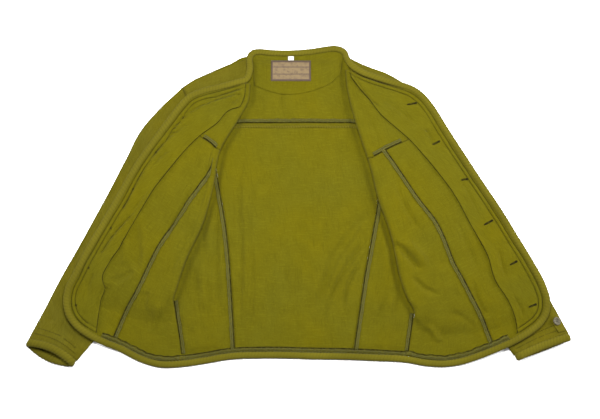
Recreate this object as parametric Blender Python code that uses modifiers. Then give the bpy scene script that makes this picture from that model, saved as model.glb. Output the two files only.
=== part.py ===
"""A collarless wool jacket laid open on its back, both fronts flipped outwards over the sleeves.

Sizes are in millimetres in the tables and functions, and metres in the scene. +X runs to the right of the
laid garment, +Y from hem to neck, +Z up, and the surface it lies on is z = 0.
"""

import math

import bmesh
import bpy
import numpy as np
from mathutils import Matrix, Vector, kdtree

MM = 0.001

# Cloth, seams and piping
CLOTH = 1.6
FACING = 1.2
SEAM_GAP = 0.3
LAYER_GAP = 0.7
EDGE_GAP = 1.0
LAP_GAP = 1.4
ARMHOLE_GAP = 1.0
FOLD_GAP = 1.3
ALLOWANCE = 9.0
PIPING_WIDTH = 13.0
PIPING_HEIGHT = 8.0
CUFF_ROLL_WIDTH = 15.0
CUFF_RISE = 13.5
CUFF_LIFT = 3.6
PIPING_STEP = 17.0
BUTTON_DIAMETER = 20.0
BUTTON_THICK = 3.2
BUTTON_PITCH = 91.0
BUTTONS = 6
BUTTON_INSET = 18.0
FIRST_BUTTON = 20.0
CUFF_BUTTON_DIAMETER = 17.0
CUFF_BUTTON_THICK = 3.0
UNDER_LAYER = CLOTH + 1.8
# the sides of a roll's section
ROLL_SIDES = 8
LABEL_SIZE = (84.0, 46.0)
LABEL_CENTRE = (-14.0, 291.0)
TAB_SIZE = (12.0, 9.4)
TAB_CENTRE = (-14.0, 319.5)
LABEL_THICK = 1.0
HEM_ALLOWANCE = 10.0
FRONT_WIDTH = 200.0
ALLOWANCE_START = 0.5
# the middle of the whole garment's box, which becomes the origin
MIDDLE = np.array((2.05, 12.31, 0.0))

# Outlines: a row for each place, x then y
NECK = (
    (-99, 327), (-93, 332), (-80, 334), (-58, 332), (-16, 331), (26, 334), (58, 339), (81, 341), (94, 337),
    (101, 329),
)
HEM = (
    (-229, -315), (-185, -309), (-138, -301), (-66, -298), (41, -300), (100, -301), (148, -303),
    (219, -307),
)
SHOULDER_LEFT = ((-243, 255), (-226, 268), (-185, 289), (-143, 308), (-108, 324))
SHOULDER_RIGHT = ((108, 318), (117, 313), (153, 297), (188, 285), (215, 270), (241, 252))
NECKLINE_OF_YOKE = (
    (-93, 316), (-80, 326), (-58, 325), (-16, 324), (26, 327), (58, 332), (81, 333), (93, 320),
)
YOKE_SEAM = ((-210, 176), (-124, 176), (-1, 177), (120, 176), (211, 176))
LOW_SIDE_SEAM_LEFT = ((-249, -191), (-245.5, -213), (-239, -249), (-229.5, -308))
LOW_SIDE_SEAM_RIGHT = ((234, -216), (231, -235), (228, -253), (220.5, -300))
# the body's side from the shoulder tip down the armhole to the underarm, then down the side seam
BODY_SIDE_LEFT = (
    (-243, 255), (-224, 216), (-210, 176), (-205, 138), (-208, 95), (-219, 52), (-240, 0), (-247, -88),
    (-250, -140),
)
BODY_SIDE_RIGHT = (
    (241, 252), (223, 214), (211, 176), (206, 138), (209, 95), (220, 52), (240, 0), (246, -88), (241, -160),
)
YOKE_ROW = 2
UNDERARM_ROW = 6
BACK_PRINCESS_LEFT = (
    (-185, 176), (-175, 121), (-159, 36), (-144, -47), (-137, -108), (-129, -209), (-123, -294),
)
BACK_PRINCESS_RIGHT = (
    (180, 176), (173, 89), (161, -5), (148, -73), (134, -145), (123, -213), (110, -294),
)
NECK_FACING_EDGE = (
    (-91, 259), (-75, 252), (-58, 246), (-37, 240), (5, 241), (26, 246), (47, 253), (68, 263), (90, 285),
)
NECK_FACING_TOP = (
    (-91, 312), (-80, 325), (-58, 324), (-16, 323), (26, 326), (58, 331), (78, 331), (90, 314),
)

FRONT_TABLES = {
    "left": {
        "side": -1,
        # the edge of the roll where the front turns back over itself
        "fold": (
            (-99, 261), (-101, 230), (-124, 181), (-158, 119), (-173, 35), (-192, -38), (-221, -103),
            (-241, -165),
        ),
        "low_seam": LOW_SIDE_SEAM_LEFT,
        # share of the fold's length, the roll's inner radius, its sweep in degrees, height of its lower end
        "roll": (
            (0.0, 4.5, 180, 5.0), (0.15, 6.0, 180, 5.0), (0.45, 7.5, 180, 5.0), (0.7, 6.5, 180, 5.0),
            (0.79, 5.0, 180, 5.0), (0.812, 4.5, 150, 3.7), (0.87, 4.0, 40, 0.2), (1.0, 4.0, 30, 0.0),
        ),
        # the middle of the corded piping from the neck round to the side seam, x, y and z
        "piping": (
            (-101, 320, 6), (-100, 291, 12), (-108, 269, 16), (-128, 262, 17), (-162, 252, 17),
            (-197, 243, 17), (-224, 231, 17), (-241, 213, 17), (-264, 181, 17), (-294, 138, 17),
            (-323, 94, 17), (-367, 11, 17), (-399, -49, 17), (-423, -94, 17), (-445, -140, 17),
            (-458, -170, 17), (-460, -194, 17), (-454, -218, 17), (-439, -239, 16), (-415, -257, 14),
            (-383, -273, 10), (-352, -285, 6), (-312, -305, 4), (-272, -316, 4), (-229.8, -315, 4),
        ),
        "rows": {"neck": 2.4, "top": 7, "low": 18},
        "yoke_free_rows": (0.3, 1.8),
        "under_end": 0.74,
        "under_side_end": 0.99,
        "yoke": ((-163, 115), (-180, 132), (-199, 145), (-226, 166), (-252, 185)),
        "princess": (
            (-172, 100), (-179, 80), (-199, 48), (-219, 19), (-239, -14), (-262, -49), (-281, -79),
            (-306, -130), (-325, -172), (-343, -204), (-367, -262),
        ),
        "facing": (
            (-113, 211), (-144, 200), (-166, 174), (-201, 148), (-231, 117), (-261, 79), (-291, 39),
            (-316, -4), (-339, -45), (-357, -82), (-378, -114), (-391, -146), (-386, -166), (-393, -188),
            (-397, -220), (-400, -255),
        ),
        "body_side": BODY_SIDE_LEFT,
        "shoulder": SHOULDER_LEFT,
    },
    "right": {
        "side": 1,
        "fold": (
            (100, 290), (102, 259), (109, 220), (119, 181), (131, 140), (149, 81), (164, 14), (182, -38),
            (193, -79), (204, -140), (219, -186),
        ),
        "low_seam": LOW_SIDE_SEAM_RIGHT,
        "roll": (
            (0.0, 4.5, 180, 5.0), (0.15, 6.0, 180, 5.0), (0.45, 7.5, 180, 5.0), (0.7, 7.0, 180, 5.0),
            (0.83, 5.5, 180, 5.0), (0.862, 4.5, 150, 3.7), (0.91, 4.0, 40, 0.2), (1.0, 4.0, 30, 0.0),
        ),
        "piping": (
            (103, 321, 6), (111, 304, 12), (135, 285, 16), (162, 274, 17), (189, 265, 17), (214, 257, 17),
            (240, 247, 17), (261, 230, 17), (277, 209, 17), (304, 162, 17), (334, 112, 17), (372, 49, 17),
            (411, -14, 17), (439, -64, 17), (467, -114, 17), (490, -162, 17), (497, -190, 17),
            (494, -214, 17), (481, -235, 17), (460, -252, 17), (432, -269, 15), (401, -283, 12),
            (361, -299, 8), (322, -311, 5), (290, -315, 4), (253, -313, 4), (219.8, -307, 4),
        ),
        "rows": {"neck": 1.2, "top": 6.5, "low": 19},
        "yoke_free_rows": (0.7, 2.8),
        "under_end": 0.76,
        "under_side_end": 0.97,
        "yoke": ((140, 93), (165, 107), (190, 121), (221, 136), (256, 155), (290, 172)),
        "princess": (
            (178, 122), (200, 90), (220, 59), (250, 13), (283, -32), (300, -69), (317, -116), (336, -152),
            (354, -190), (373, -229), (391, -280),
        ),
        "facing": (
            (112, 272), (130, 246), (150, 222), (171, 194), (201, 166), (232, 138), (262, 102), (293, 62),
            (321, 21), (345, -27), (368, -72), (383, -102), (395, -148), (423, -196), (435, -234),
            (437, -262),
        ),
        "body_side": BODY_SIDE_RIGHT,
        "shoulder": tuple(reversed(SHOULDER_RIGHT)),
    },
}

SLEEVE_TABLES = {
    "left": {
        "side": -1,
        "outer": (
            (-243, 254), (-288, 209), (-328, 158), (-353, 104), (-385, 36), (-432, -59), (-488, -169),
            (-515, -229),
        ),
        "inner": ((-241, 0), (-275, -43), (-319, -98), (-361, -183), (-397, -258)),
        "body_side": BODY_SIDE_LEFT,
        "cuff_ends": ((-536, -273), (-439, -314)),
        "pull_back": (9.5, -11.0),
        # share of the sleeve's length and how high it arches
        "arch": ((0.0, 2.0), (0.12, 4.6), (0.86, 4.6), (0.95, 9.0), (1.0, 10.0)),
        "under_front": 7.0,
    },
    "right": {
        "side": 1,
        "outer": (
            (241, 250), (285, 189), (344, 91), (402, -4), (459, -102), (487, -155), (507, -191),
            (525, -229),
        ),
        "inner": ((241, 0), (275, -43), (319, -113), (370, -207), (410, -270)),
        "body_side": BODY_SIDE_RIGHT,
        "cuff_ends": ((541, -262), (431, -303)),
        "pull_back": (3.0, -1.0),
        "arch": ((0.0, 2.0), (0.12, 7.0), (0.8, 8.5), (0.92, 10.5), (1.0, 11.0)),
        "under_front": 2.8,
    },
}

COLOURS = {
    "wool inside": (0.205, 0.180, 0.012),
    "wool outside": (0.215, 0.185, 0.022),
    "piping": (0.225, 0.200, 0.022),
    "overlocked edge": (0.150, 0.150, 0.040),
    "button": (0.130, 0.100, 0.060),
    "label": (0.480, 0.390, 0.240),
    "tab": (0.780, 0.780, 0.740),
}


def smoothstep(share):
    share = np.clip(share, 0.0, 1.0)
    return share * share * (3.0 - 2.0 * share)


class Curve:
    """A smooth curve through a table's rows, read by the share of its length in plan."""

    def __init__(self, rows):
        self.points = np.array(rows, float)
        steps = np.linalg.norm(np.diff(self.points[:, :2], axis=0), axis=1)
        self.at = np.concatenate([[0.0], np.cumsum(steps)])
        self.length = self.at[-1]
        slope = np.diff(self.points, axis=0) / steps[:, None]
        before, after = steps[:-1, None], steps[1:, None]
        inner = (slope[:-1] * after + slope[1:] * before) / (before + after)
        self.tangents = np.concatenate([slope[:1], inner, slope[-1:]])

    def row_share(self, row):
        return np.interp(row, np.arange(len(self.at)), self.at) / self.length

    def __call__(self, share):
        reach = np.atleast_1d(np.asarray(share, float)) * self.length
        i = np.clip(np.searchsorted(self.at, reach, side="right") - 1, 0, len(self.at) - 2)
        step = (self.at[i + 1] - self.at[i])[:, None]
        t = ((reach - self.at[i])[:, None]) / step
        rise = 3 * t**2 - 2 * t**3
        return (
            (1 - rise) * self.points[i]
            + rise * self.points[i + 1]
            + (t**3 - 2 * t**2 + t) * step * self.tangents[i]
            + (t**3 - t**2) * step * self.tangents[i + 1]
        )

    def left_normal(self, share):
        share = np.atleast_1d(np.asarray(share, float))
        nudge = 0.5 / self.length
        ahead = self(share + nudge)[:, :2] - self(share - nudge)[:, :2]
        ahead /= np.linalg.norm(ahead, axis=1)[:, None]
        return np.stack([-ahead[:, 1], ahead[:, 0]], axis=1)


class Patch:
    """A surface between four edges: near and far by share b, start (b = 0) and end (b = 1) by share a."""

    def __init__(self, near, far, start, end):
        self.near, self.far, self.start, self.end = near, far, start, end
        self.corners = [curve(np.array([b]))[0] for b in (0.0, 1.0) for curve in (near, far)]
        self.start_ends = start(np.array([0.0]))[0], start(np.array([1.0]))[0]
        self.end_ends = end(np.array([0.0]))[0], end(np.array([1.0]))[0]

    def __call__(self, a, b):
        share_a, share_b = a[:, None], b[:, None]
        near_start, far_start, near_end, far_end = self.corners
        start = self.start(a) + (1 - share_a) * (near_start - self.start_ends[0])
        start += share_a * (far_start - self.start_ends[1])
        end = self.end(a) + (1 - share_a) * (near_end - self.end_ends[0])
        end += share_a * (far_end - self.end_ends[1])
        corner = (1 - share_b) * ((1 - share_a) * near_start + share_a * far_start) + share_b * (
            (1 - share_a) * near_end + share_a * far_end
        )
        return (
            (1 - share_a) * self.near(b)
            + share_a * self.far(b)
            + (1 - share_b) * start
            + share_b * end
            - corner
        )


class Front:
    """One flipped front: a roll along the fold (s < 0), then a sheet out to the piping (s from 0 to 1)."""

    def __init__(self, table):
        self.side = table["side"]
        self.fold = Curve(table["fold"] + tuple((x + 0.6 * self.side, y) for x, y in table["low_seam"]))
        self.roll = np.array(table["roll"], float)
        self.piping = Curve(table["piping"])
        self.at = {name: self.piping.row_share(row) for name, row in table["rows"].items()}
        self.patch = Patch(
            self.roll_top,
            lambda b: self.edge(self.at["top"] + b * (self.at["low"] - self.at["top"])),
            lambda a: self.edge(self.at["neck"] + a * (self.at["top"] - self.at["neck"])),
            lambda a: self.edge(1.0 + a * (self.at["low"] - 1.0)),
        )
        a, b = (grid.ravel() for grid in np.meshgrid(np.linspace(0, 1, 61), np.linspace(0, 1, 121)))
        self.samples_ab = np.stack([a, b], axis=1)
        self.samples = self.patch(a, b)
        self.tree = tree_of(self.samples)

    def edge(self, share):
        """The cloth's edge beside the piping."""
        middle = self.piping(share)
        inward = -self.side * self.piping.left_normal(share)
        plan = middle[:, :2] + inward * (PIPING_WIDTH / 2 + EDGE_GAP)
        return np.column_stack([plan, np.maximum(middle[:, 2] - PIPING_HEIGHT / 2, 0.0)])

    def roll_at(self, b):
        radius, sweep, base = (np.interp(b, self.roll[:, 0], self.roll[:, column]) for column in (1, 2, 3))
        return radius, np.radians(sweep), base

    def roll_top(self, b):
        radius, sweep, base = self.roll_at(b)
        outward = self.side * self.fold.left_normal(b)
        reach = (radius + CLOTH) * np.sin(np.minimum(sweep, math.pi / 2))
        plan = self.fold(b) + outward * reach[:, None]
        return np.column_stack([plan, base + radius * (1 - np.cos(sweep))])

    def __call__(self, s, b):
        a = np.clip(s, 0.0, 1.0)
        points = self.patch(a, b)
        radius, sweep, base = self.roll_at(b)
        turn = np.clip(-s, 0.0, 1.0) * sweep
        outward = self.side * self.fold.left_normal(b)
        points[:, :2] -= outward * (radius * np.sin(turn))[:, None]
        points[:, 2] -= radius * (1 - np.cos(turn))
        points[:, 2] = np.maximum(points[:, 2], 0.0)
        return points

    def raised(self, s, b, lift):
        """A point on the sheet moved out along its normal."""
        nudge = 0.002
        along_s = self(s + nudge, b) - self(s - nudge, b)
        along_b = self(s, b + nudge) - self(s, b - nudge)
        normal = np.cross(along_s, along_b)
        normal /= np.linalg.norm(normal, axis=1)[:, None]
        normal *= np.sign(normal[:, 2:])
        return self(s, b) + normal * lift

    def locate(self, plan):
        """The shares (a, b) of places given by x and y."""
        plan = np.asarray(plan, float)[:, :2]
        found = [self.tree.find((x, y, 0.0))[1] for x, y in plan]
        shares = self.samples_ab[found].copy()
        nudge = 1e-4
        for _ in range(8):
            here = self.patch(shares[:, 0], shares[:, 1])[:, :2]
            by_a = (self.patch(shares[:, 0] + nudge, shares[:, 1])[:, :2] - here) / nudge
            by_b = (self.patch(shares[:, 0], shares[:, 1] + nudge)[:, :2] - here) / nudge
            miss = plan - here
            det = by_a[:, 0] * by_b[:, 1] - by_a[:, 1] * by_b[:, 0]
            shares[:, 0] += np.clip((miss[:, 0] * by_b[:, 1] - miss[:, 1] * by_b[:, 0]) / det, -0.1, 0.1)
            shares[:, 1] += np.clip((by_a[:, 0] * miss[:, 1] - by_a[:, 1] * miss[:, 0]) / det, -0.1, 0.1)
            shares = np.clip(shares, 0.0, 1.0)
        return shares

    def line(self, rows, read, give):
        """A seam as a function: share number give for share number read."""
        shares = self.locate(Curve(rows)(np.linspace(0, 1, 90)))
        inside = np.all((shares > 0.001) & (shares < 0.999), axis=1)
        shares = shares[inside]
        order = np.argsort(shares[:, read])
        return lambda value: np.interp(value, shares[order, read], shares[order, give])


def tree_of(points):
    tree = kdtree.KDTree(len(points))
    for index, point in enumerate(points):
        tree.insert((point[0], point[1], 0.0), index)
    tree.balance()
    return tree


class Sleeve:
    """One sleeve laid flat: a runs from its outer edge to its inner, b from the armhole to the cuff."""

    def __init__(self, table, front):
        self.side = table["side"]
        self.arch = np.array(table["arch"], float)
        self.under_front = table["under_front"]
        self.ends = np.array(table["cuff_ends"], float)
        self.pull_back = table["pull_back"]
        across = self.ends[1] - self.ends[0]
        self.width = np.linalg.norm(across)
        self.across = across / self.width
        self.along = np.array([self.across[1], -self.across[0]])
        if self.along[1] > 0:
            self.along = -self.along
        body_side = Curve(table["body_side"])
        underarm = body_side.row_share(UNDERARM_ROW)
        self.armhole = lambda a: (
            body_side(a * underarm) + self.side * body_side.left_normal(a * underarm) * ARMHOLE_GAP
        )
        self.patches = {}
        for layer, bow in zip(("upper", "under"), self.pull_back):
            inset = CUFF_ROLL_WIDTH / 2 + EDGE_GAP
            ends = self.cuff_line((0.0, 1.0), bow, inset)
            self.patches[layer] = Patch(
                Curve((*table["outer"], ends[0])),
                Curve((*table["inner"], ends[1])),
                self.armhole,
                lambda a, bow=bow, inset=inset: self.cuff_line(a, bow, inset),
            )
        above = [front.samples]
        shares = np.linspace(0, 1, 400)
        middle = front.piping(shares)
        normal = front.piping.left_normal(shares)
        for offset in (-6, -3, 0, 3, 6, 10, 14, 18, 22, 26, 30):
            low = middle - (0, 0, PIPING_HEIGHT / 2)
            low[:, :2] += self.side * normal * offset
            low[:, 2] += 0.3 * max(offset - 12, 0)
            above.append(low)
        self.above = np.concatenate(above)
        self.tree = tree_of(self.above)

    def cuff_line(self, a, bow, inset=0.0):
        """A line across the cuff, bowed back in the middle and set in from its rim."""
        a = np.asarray(a, float)
        back = bow * np.sin(math.pi * a) + inset
        return self.ends[0] + np.outer(a, self.across * self.width) - np.outer(back, self.along)

    def under(self, a, b):
        plan = self.patches["under"](a, b)
        rise = CUFF_LIFT * smoothstep((b - 0.87) / 0.07)
        return np.column_stack([plan, rise])

    def upper(self, a, b):
        plan = self.patches["upper"](a, b)
        height = np.interp(b, self.arch[:, 0], self.arch[:, 1]) * (1 - (2 * a - 1) ** 4)
        lowest = CLOTH + LAYER_GAP + CUFF_LIFT * smoothstep((b - 0.87) / 0.07)
        z = lowest + height
        for index, (x, y) in enumerate(plan):
            _, nearest, distance = self.tree.find((x, y, 0.0))
            if distance < 8.0:
                z[index] = min(z[index], self.above[nearest][2] - self.under_front)
        return np.column_stack([plan, np.maximum(z, lowest)])

    def upper_raised(self, a, b, lift):
        nudge = 0.004
        along_a = self.upper(a + nudge, b) - self.upper(a - nudge, b)
        along_b = self.upper(a, b + nudge) - self.upper(a, b - nudge)
        normal = np.cross(along_a, along_b)
        normal /= np.linalg.norm(normal, axis=1)[:, None]
        normal *= np.sign(normal[:, 2:])
        return self.upper(a, b) + normal * lift

    def ring(self, count):
        """The middle of the cuff's rolled rim, once round its flat mouth."""
        radius = CUFF_RISE / 2
        straight = self.width - 2 * radius - PIPING_HEIGHT
        total = 2 * straight + 2 * math.pi * radius
        points = []
        for k in range(count):
            reach = total * k / count
            if reach < straight:
                x, z, upper = reach - straight / 2, radius, 1.0
            elif reach < straight + math.pi * radius:
                turn = (reach - straight) / radius
                x, z = straight / 2 + radius * math.sin(turn), radius * math.cos(turn)
                upper = (1 + math.cos(turn)) / 2
            elif reach < 2 * straight + math.pi * radius:
                x, z, upper = straight / 2 - (reach - straight - math.pi * radius), -radius, 0.0
            else:
                turn = (reach - 2 * straight - math.pi * radius) / radius
                x, z = -straight / 2 - radius * math.sin(turn), -radius * math.cos(turn)
                upper = (1 - math.cos(turn)) / 2
            a = 0.5 + x / self.width
            back = upper * self.pull_back[0] + (1 - upper) * self.pull_back[1]
            plan = self.cuff_line(np.array([a]), back)[0]
            points.append((*plan, PIPING_HEIGHT / 2 + radius + z))
        return np.array(points)


def material_for(name, colour, roughness):
    material = bpy.data.materials.new(name)
    material.use_nodes = True
    shader = material.node_tree.nodes["Principled BSDF"]
    shader.inputs["Base Color"].default_value = (*COLOURS[colour], 1.0)
    shader.inputs["Roughness"].default_value = roughness
    return material


def add_object(name, mesh_data, colour, roughness=0.9):
    mesh = bpy.data.meshes.new(name)
    mesh_data.to_mesh(mesh)
    mesh_data.free()
    mesh.shade_smooth()
    piece = bpy.data.objects.new(name, mesh)
    piece.data.materials.append(material_for(name, colour, roughness))
    jacket.objects.link(piece)
    return piece


def sheet(name, surface, columns, rows, thick=CLOTH, colour="wool inside"):
    """A cloth piece: a grid laid on surface(u, v), which is its underside, and thickened upwards."""
    cloth = bmesh.new()
    bmesh.ops.create_grid(cloth, x_segments=columns, y_segments=rows, size=1.0)
    places = np.array([(vert.co.x, vert.co.y) for vert in cloth.verts])
    shares = (places + 1) / 2
    for vert, point in zip(cloth.verts, surface(shares[:, 0], shares[:, 1])):
        vert.co = (point - MIDDLE) * MM
    cloth.normal_update()
    if sum(face.normal.z * face.calc_area() for face in cloth.faces) < 0:
        bmesh.ops.reverse_faces(cloth, faces=cloth.faces)
    piece = add_object(name, cloth, colour)
    wall = piece.modifiers.new("wall", "SOLIDIFY")
    wall.thickness = thick * MM
    wall.offset = 1.0
    return piece


def tube(name, path, wide, half_width, closed=False):
    """A rolled edge: an eight-sided section, flat above and below, carried along a path."""
    path = np.asarray(path, float)
    wide = np.asarray(wide, float)
    if closed:
        ahead = np.roll(path, -1, axis=0) - np.roll(path, 1, axis=0)
    else:
        ahead = np.gradient(path, axis=0)
    ahead /= np.linalg.norm(ahead, axis=1)[:, None]
    wide = wide - ahead * np.sum(wide * ahead, axis=1)[:, None]
    wide /= np.linalg.norm(wide, axis=1)[:, None]
    tall = np.cross(ahead, wide)
    corner = 1 / math.cos(math.pi / ROLL_SIDES)
    count = len(path)
    rings = count if closed else count - 1
    roll = bmesh.new()
    bmesh.ops.create_grid(roll, x_segments=ROLL_SIDES, y_segments=rings, size=1.0)
    for index, vert in enumerate(roll.verts):
        section, spoke = divmod(index, ROLL_SIDES + 1)
        section %= count
        angle = 2 * math.pi * (spoke % ROLL_SIDES + 0.5) / ROLL_SIDES
        place = (
            path[section]
            + wide[section] * half_width * corner * math.cos(angle)
            + tall[section] * PIPING_HEIGHT / 2 * corner * math.sin(angle)
        )
        place[2] = max(place[2], 0.0)
        vert.co = (place - MIDDLE) * MM
    bmesh.ops.remove_doubles(roll, verts=roll.verts, dist=1e-7)
    if not closed:
        rims = [edge for edge in roll.edges if edge.is_boundary]
        bmesh.ops.holes_fill(roll, edges=rims, sides=ROLL_SIDES)
    bmesh.ops.recalc_face_normals(roll, faces=roll.faces)
    return add_object(name, roll, "piping")


def edge_piping(name, rows, first=0.0, last=1.0):
    curve = Curve(rows)
    count = int(curve.length * (last - first) / PIPING_STEP) + 2
    shares = np.linspace(first, last, count)
    path = curve(shares)
    if path.shape[1] == 2:
        path = np.column_stack([path, np.full(count, PIPING_HEIGHT / 2)])
    normal = curve.left_normal(shares)
    return tube(name, path, np.column_stack([normal, np.zeros(count)]), PIPING_WIDTH / 2)


def flat_patch(near, far, start, end, height=0.0):
    patch = Patch(near, far, start, end)

    def surface(a, b):
        return np.column_stack([patch(a, b), np.full(len(a), height)])

    return surface


def nudged(rows, x=0.0, y=0.0):
    return tuple((row[0] + x, row[1] + y) for row in rows)


def straight(first, last):
    return Curve((first, last))


def hem_edge(first_x, last_x):
    """The back's edge beside the hem piping, between two places."""
    hem = Curve(HEM)
    shares = np.linspace(0, 1, 200)
    edge = hem(shares) + hem.left_normal(shares) * (PIPING_WIDTH / 2 + SEAM_GAP)

    def between(a):
        x = first_x + a * (last_x - first_x)
        return np.column_stack([x, np.interp(x, edge[:, 0], edge[:, 1])])

    return between


def yoke_side(rows):
    """The armhole beside the back yoke, from the yoke seam up to the shoulder."""
    side = Curve(rows)
    seam = side.row_share(YOKE_ROW)
    return lambda b: side(seam * (1 - b))


def panel_side(rows, low_rows):
    """The armhole and side seam of a back side panel, from the yoke seam down to the hem."""
    side = Curve(rows + low_rows)
    seam = side.row_share(YOKE_ROW)
    return lambda b: side(seam + b * (1 - seam))


def build_back():
    half_gap = SEAM_GAP / 2
    yoke_top = Curve(SHOULDER_LEFT + NECKLINE_OF_YOKE + SHOULDER_RIGHT)
    yoke_bottom = Curve(nudged(YOKE_SEAM, y=half_gap))
    sheet(
        "back_yoke",
        flat_patch(
            yoke_side(BODY_SIDE_LEFT),
            yoke_side(BODY_SIDE_RIGHT),
            yoke_bottom,
            yoke_top,
        ),
        40,
        6,
    )
    below = nudged(YOKE_SEAM, y=-half_gap)
    seam = Curve(below)
    left_x, right_x = BACK_PRINCESS_LEFT[0][0], BACK_PRINCESS_RIGHT[0][0]
    reach = YOKE_SEAM[-1][0] - YOKE_SEAM[0][0]
    left_share = (left_x - YOKE_SEAM[0][0]) / reach
    right_share = (right_x - YOKE_SEAM[0][0]) / reach
    sheet(
        "back_centre",
        flat_patch(
            Curve(nudged(BACK_PRINCESS_LEFT, x=half_gap, y=-half_gap)),
            Curve(nudged(BACK_PRINCESS_RIGHT, x=-half_gap, y=-half_gap)),
            lambda a: seam(left_share + a * (right_share - left_share)),
            hem_edge(BACK_PRINCESS_LEFT[-1][0], BACK_PRINCESS_RIGHT[-1][0]),
        ),
        14,
        20,
    )
    sheet(
        "back_side_left",
        flat_patch(
            panel_side(BODY_SIDE_LEFT, LOW_SIDE_SEAM_LEFT),
            Curve(nudged(BACK_PRINCESS_LEFT, x=-half_gap, y=-half_gap)),
            lambda a: seam(a * left_share),
            hem_edge(LOW_SIDE_SEAM_LEFT[-1][0], BACK_PRINCESS_LEFT[-1][0]),
        ),
        5,
        38,
    )
    sheet(
        "back_side_right",
        flat_patch(
            Curve(nudged(BACK_PRINCESS_RIGHT, x=half_gap, y=-half_gap)),
            panel_side(BODY_SIDE_RIGHT, LOW_SIDE_SEAM_RIGHT),
            lambda a: seam(right_share + a * (1 - right_share)),
            hem_edge(BACK_PRINCESS_RIGHT[-1][0], LOW_SIDE_SEAM_RIGHT[-1][0]),
        ),
        5,
        38,
    )


def strip_surface(rows, first, last, height, along=(0.0, 1.0)):
    """A band beside a line on the back, from one offset to another."""
    curve = Curve(rows)

    def surface(u, v):
        share = along[0] + v * (along[1] - along[0])
        normal = curve.left_normal(share)
        plan = curve(share)[:, :2] + normal * (first + u * (last - first))[:, None]
        return np.column_stack([plan, np.full(len(u), height)])

    return surface


def build_back_trims():
    on_back = CLOTH + SEAM_GAP
    sheet(
        "back_neck_facing",
        flat_patch(
            straight(NECK_FACING_EDGE[0], NECK_FACING_TOP[0]),
            straight(NECK_FACING_EDGE[-1], NECK_FACING_TOP[-1]),
            Curve(NECK_FACING_EDGE),
            Curve(NECK_FACING_TOP),
            on_back,
        ),
        24,
        4,
        thick=FACING,
    )
    on_facing = on_back + FACING + SEAM_GAP
    for name, centre, size, colour in (
        ("label", LABEL_CENTRE, LABEL_SIZE, "label"),
        ("size_tab", TAB_CENTRE, TAB_SIZE, "tab"),
    ):
        sheet(
            name,
            lambda u, v, centre=centre, size=size: np.column_stack(
                [
                    centre[0] + (u - 0.5) * size[0],
                    centre[1] + (v - 0.5) * size[1],
                    np.full(len(u), on_facing),
                ]
            ),
            4,
            3,
            thick=LABEL_THICK,
            colour=colour,
        )
    sheet(
        "allowance_back_yoke",
        strip_surface(((-128, 177), (-1, 177.5), (126, 177)), ALLOWANCE_START, ALLOWANCE, on_back),
        1,
        4,
        FACING,
        "overlocked edge",
    )
    sheet(
        "allowance_back_princess_left",
        strip_surface(BACK_PRINCESS_LEFT, -ALLOWANCE_START, -ALLOWANCE, on_back, (0.03, 0.96)),
        1,
        14,
        FACING,
        "overlocked edge",
    )
    sheet(
        "allowance_back_princess_right",
        strip_surface(BACK_PRINCESS_RIGHT, ALLOWANCE_START, ALLOWANCE, on_back, (0.03, 0.96)),
        1,
        14,
        FACING,
        "overlocked edge",
    )
    sheet(
        "allowance_side_left",
        strip_surface(LOW_SIDE_SEAM_LEFT, 2 * ALLOWANCE_START, ALLOWANCE, on_back, (0.0, 0.86)),
        1,
        8,
        FACING,
        "overlocked edge",
    )
    sheet(
        "allowance_side_right",
        strip_surface(LOW_SIDE_SEAM_RIGHT, -2 * ALLOWANCE_START, -ALLOWANCE, on_back, (0.0, 0.84)),
        1,
        8,
        FACING,
        "overlocked edge",
    )
    inset = PIPING_WIDTH / 2 + ALLOWANCE_START
    sheet(
        "allowance_hem_back",
        strip_surface(HEM, inset, inset + HEM_ALLOWANCE, on_back, (0.01, 0.99)),
        1,
        18,
        FACING,
        "overlocked edge",
    )


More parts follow.
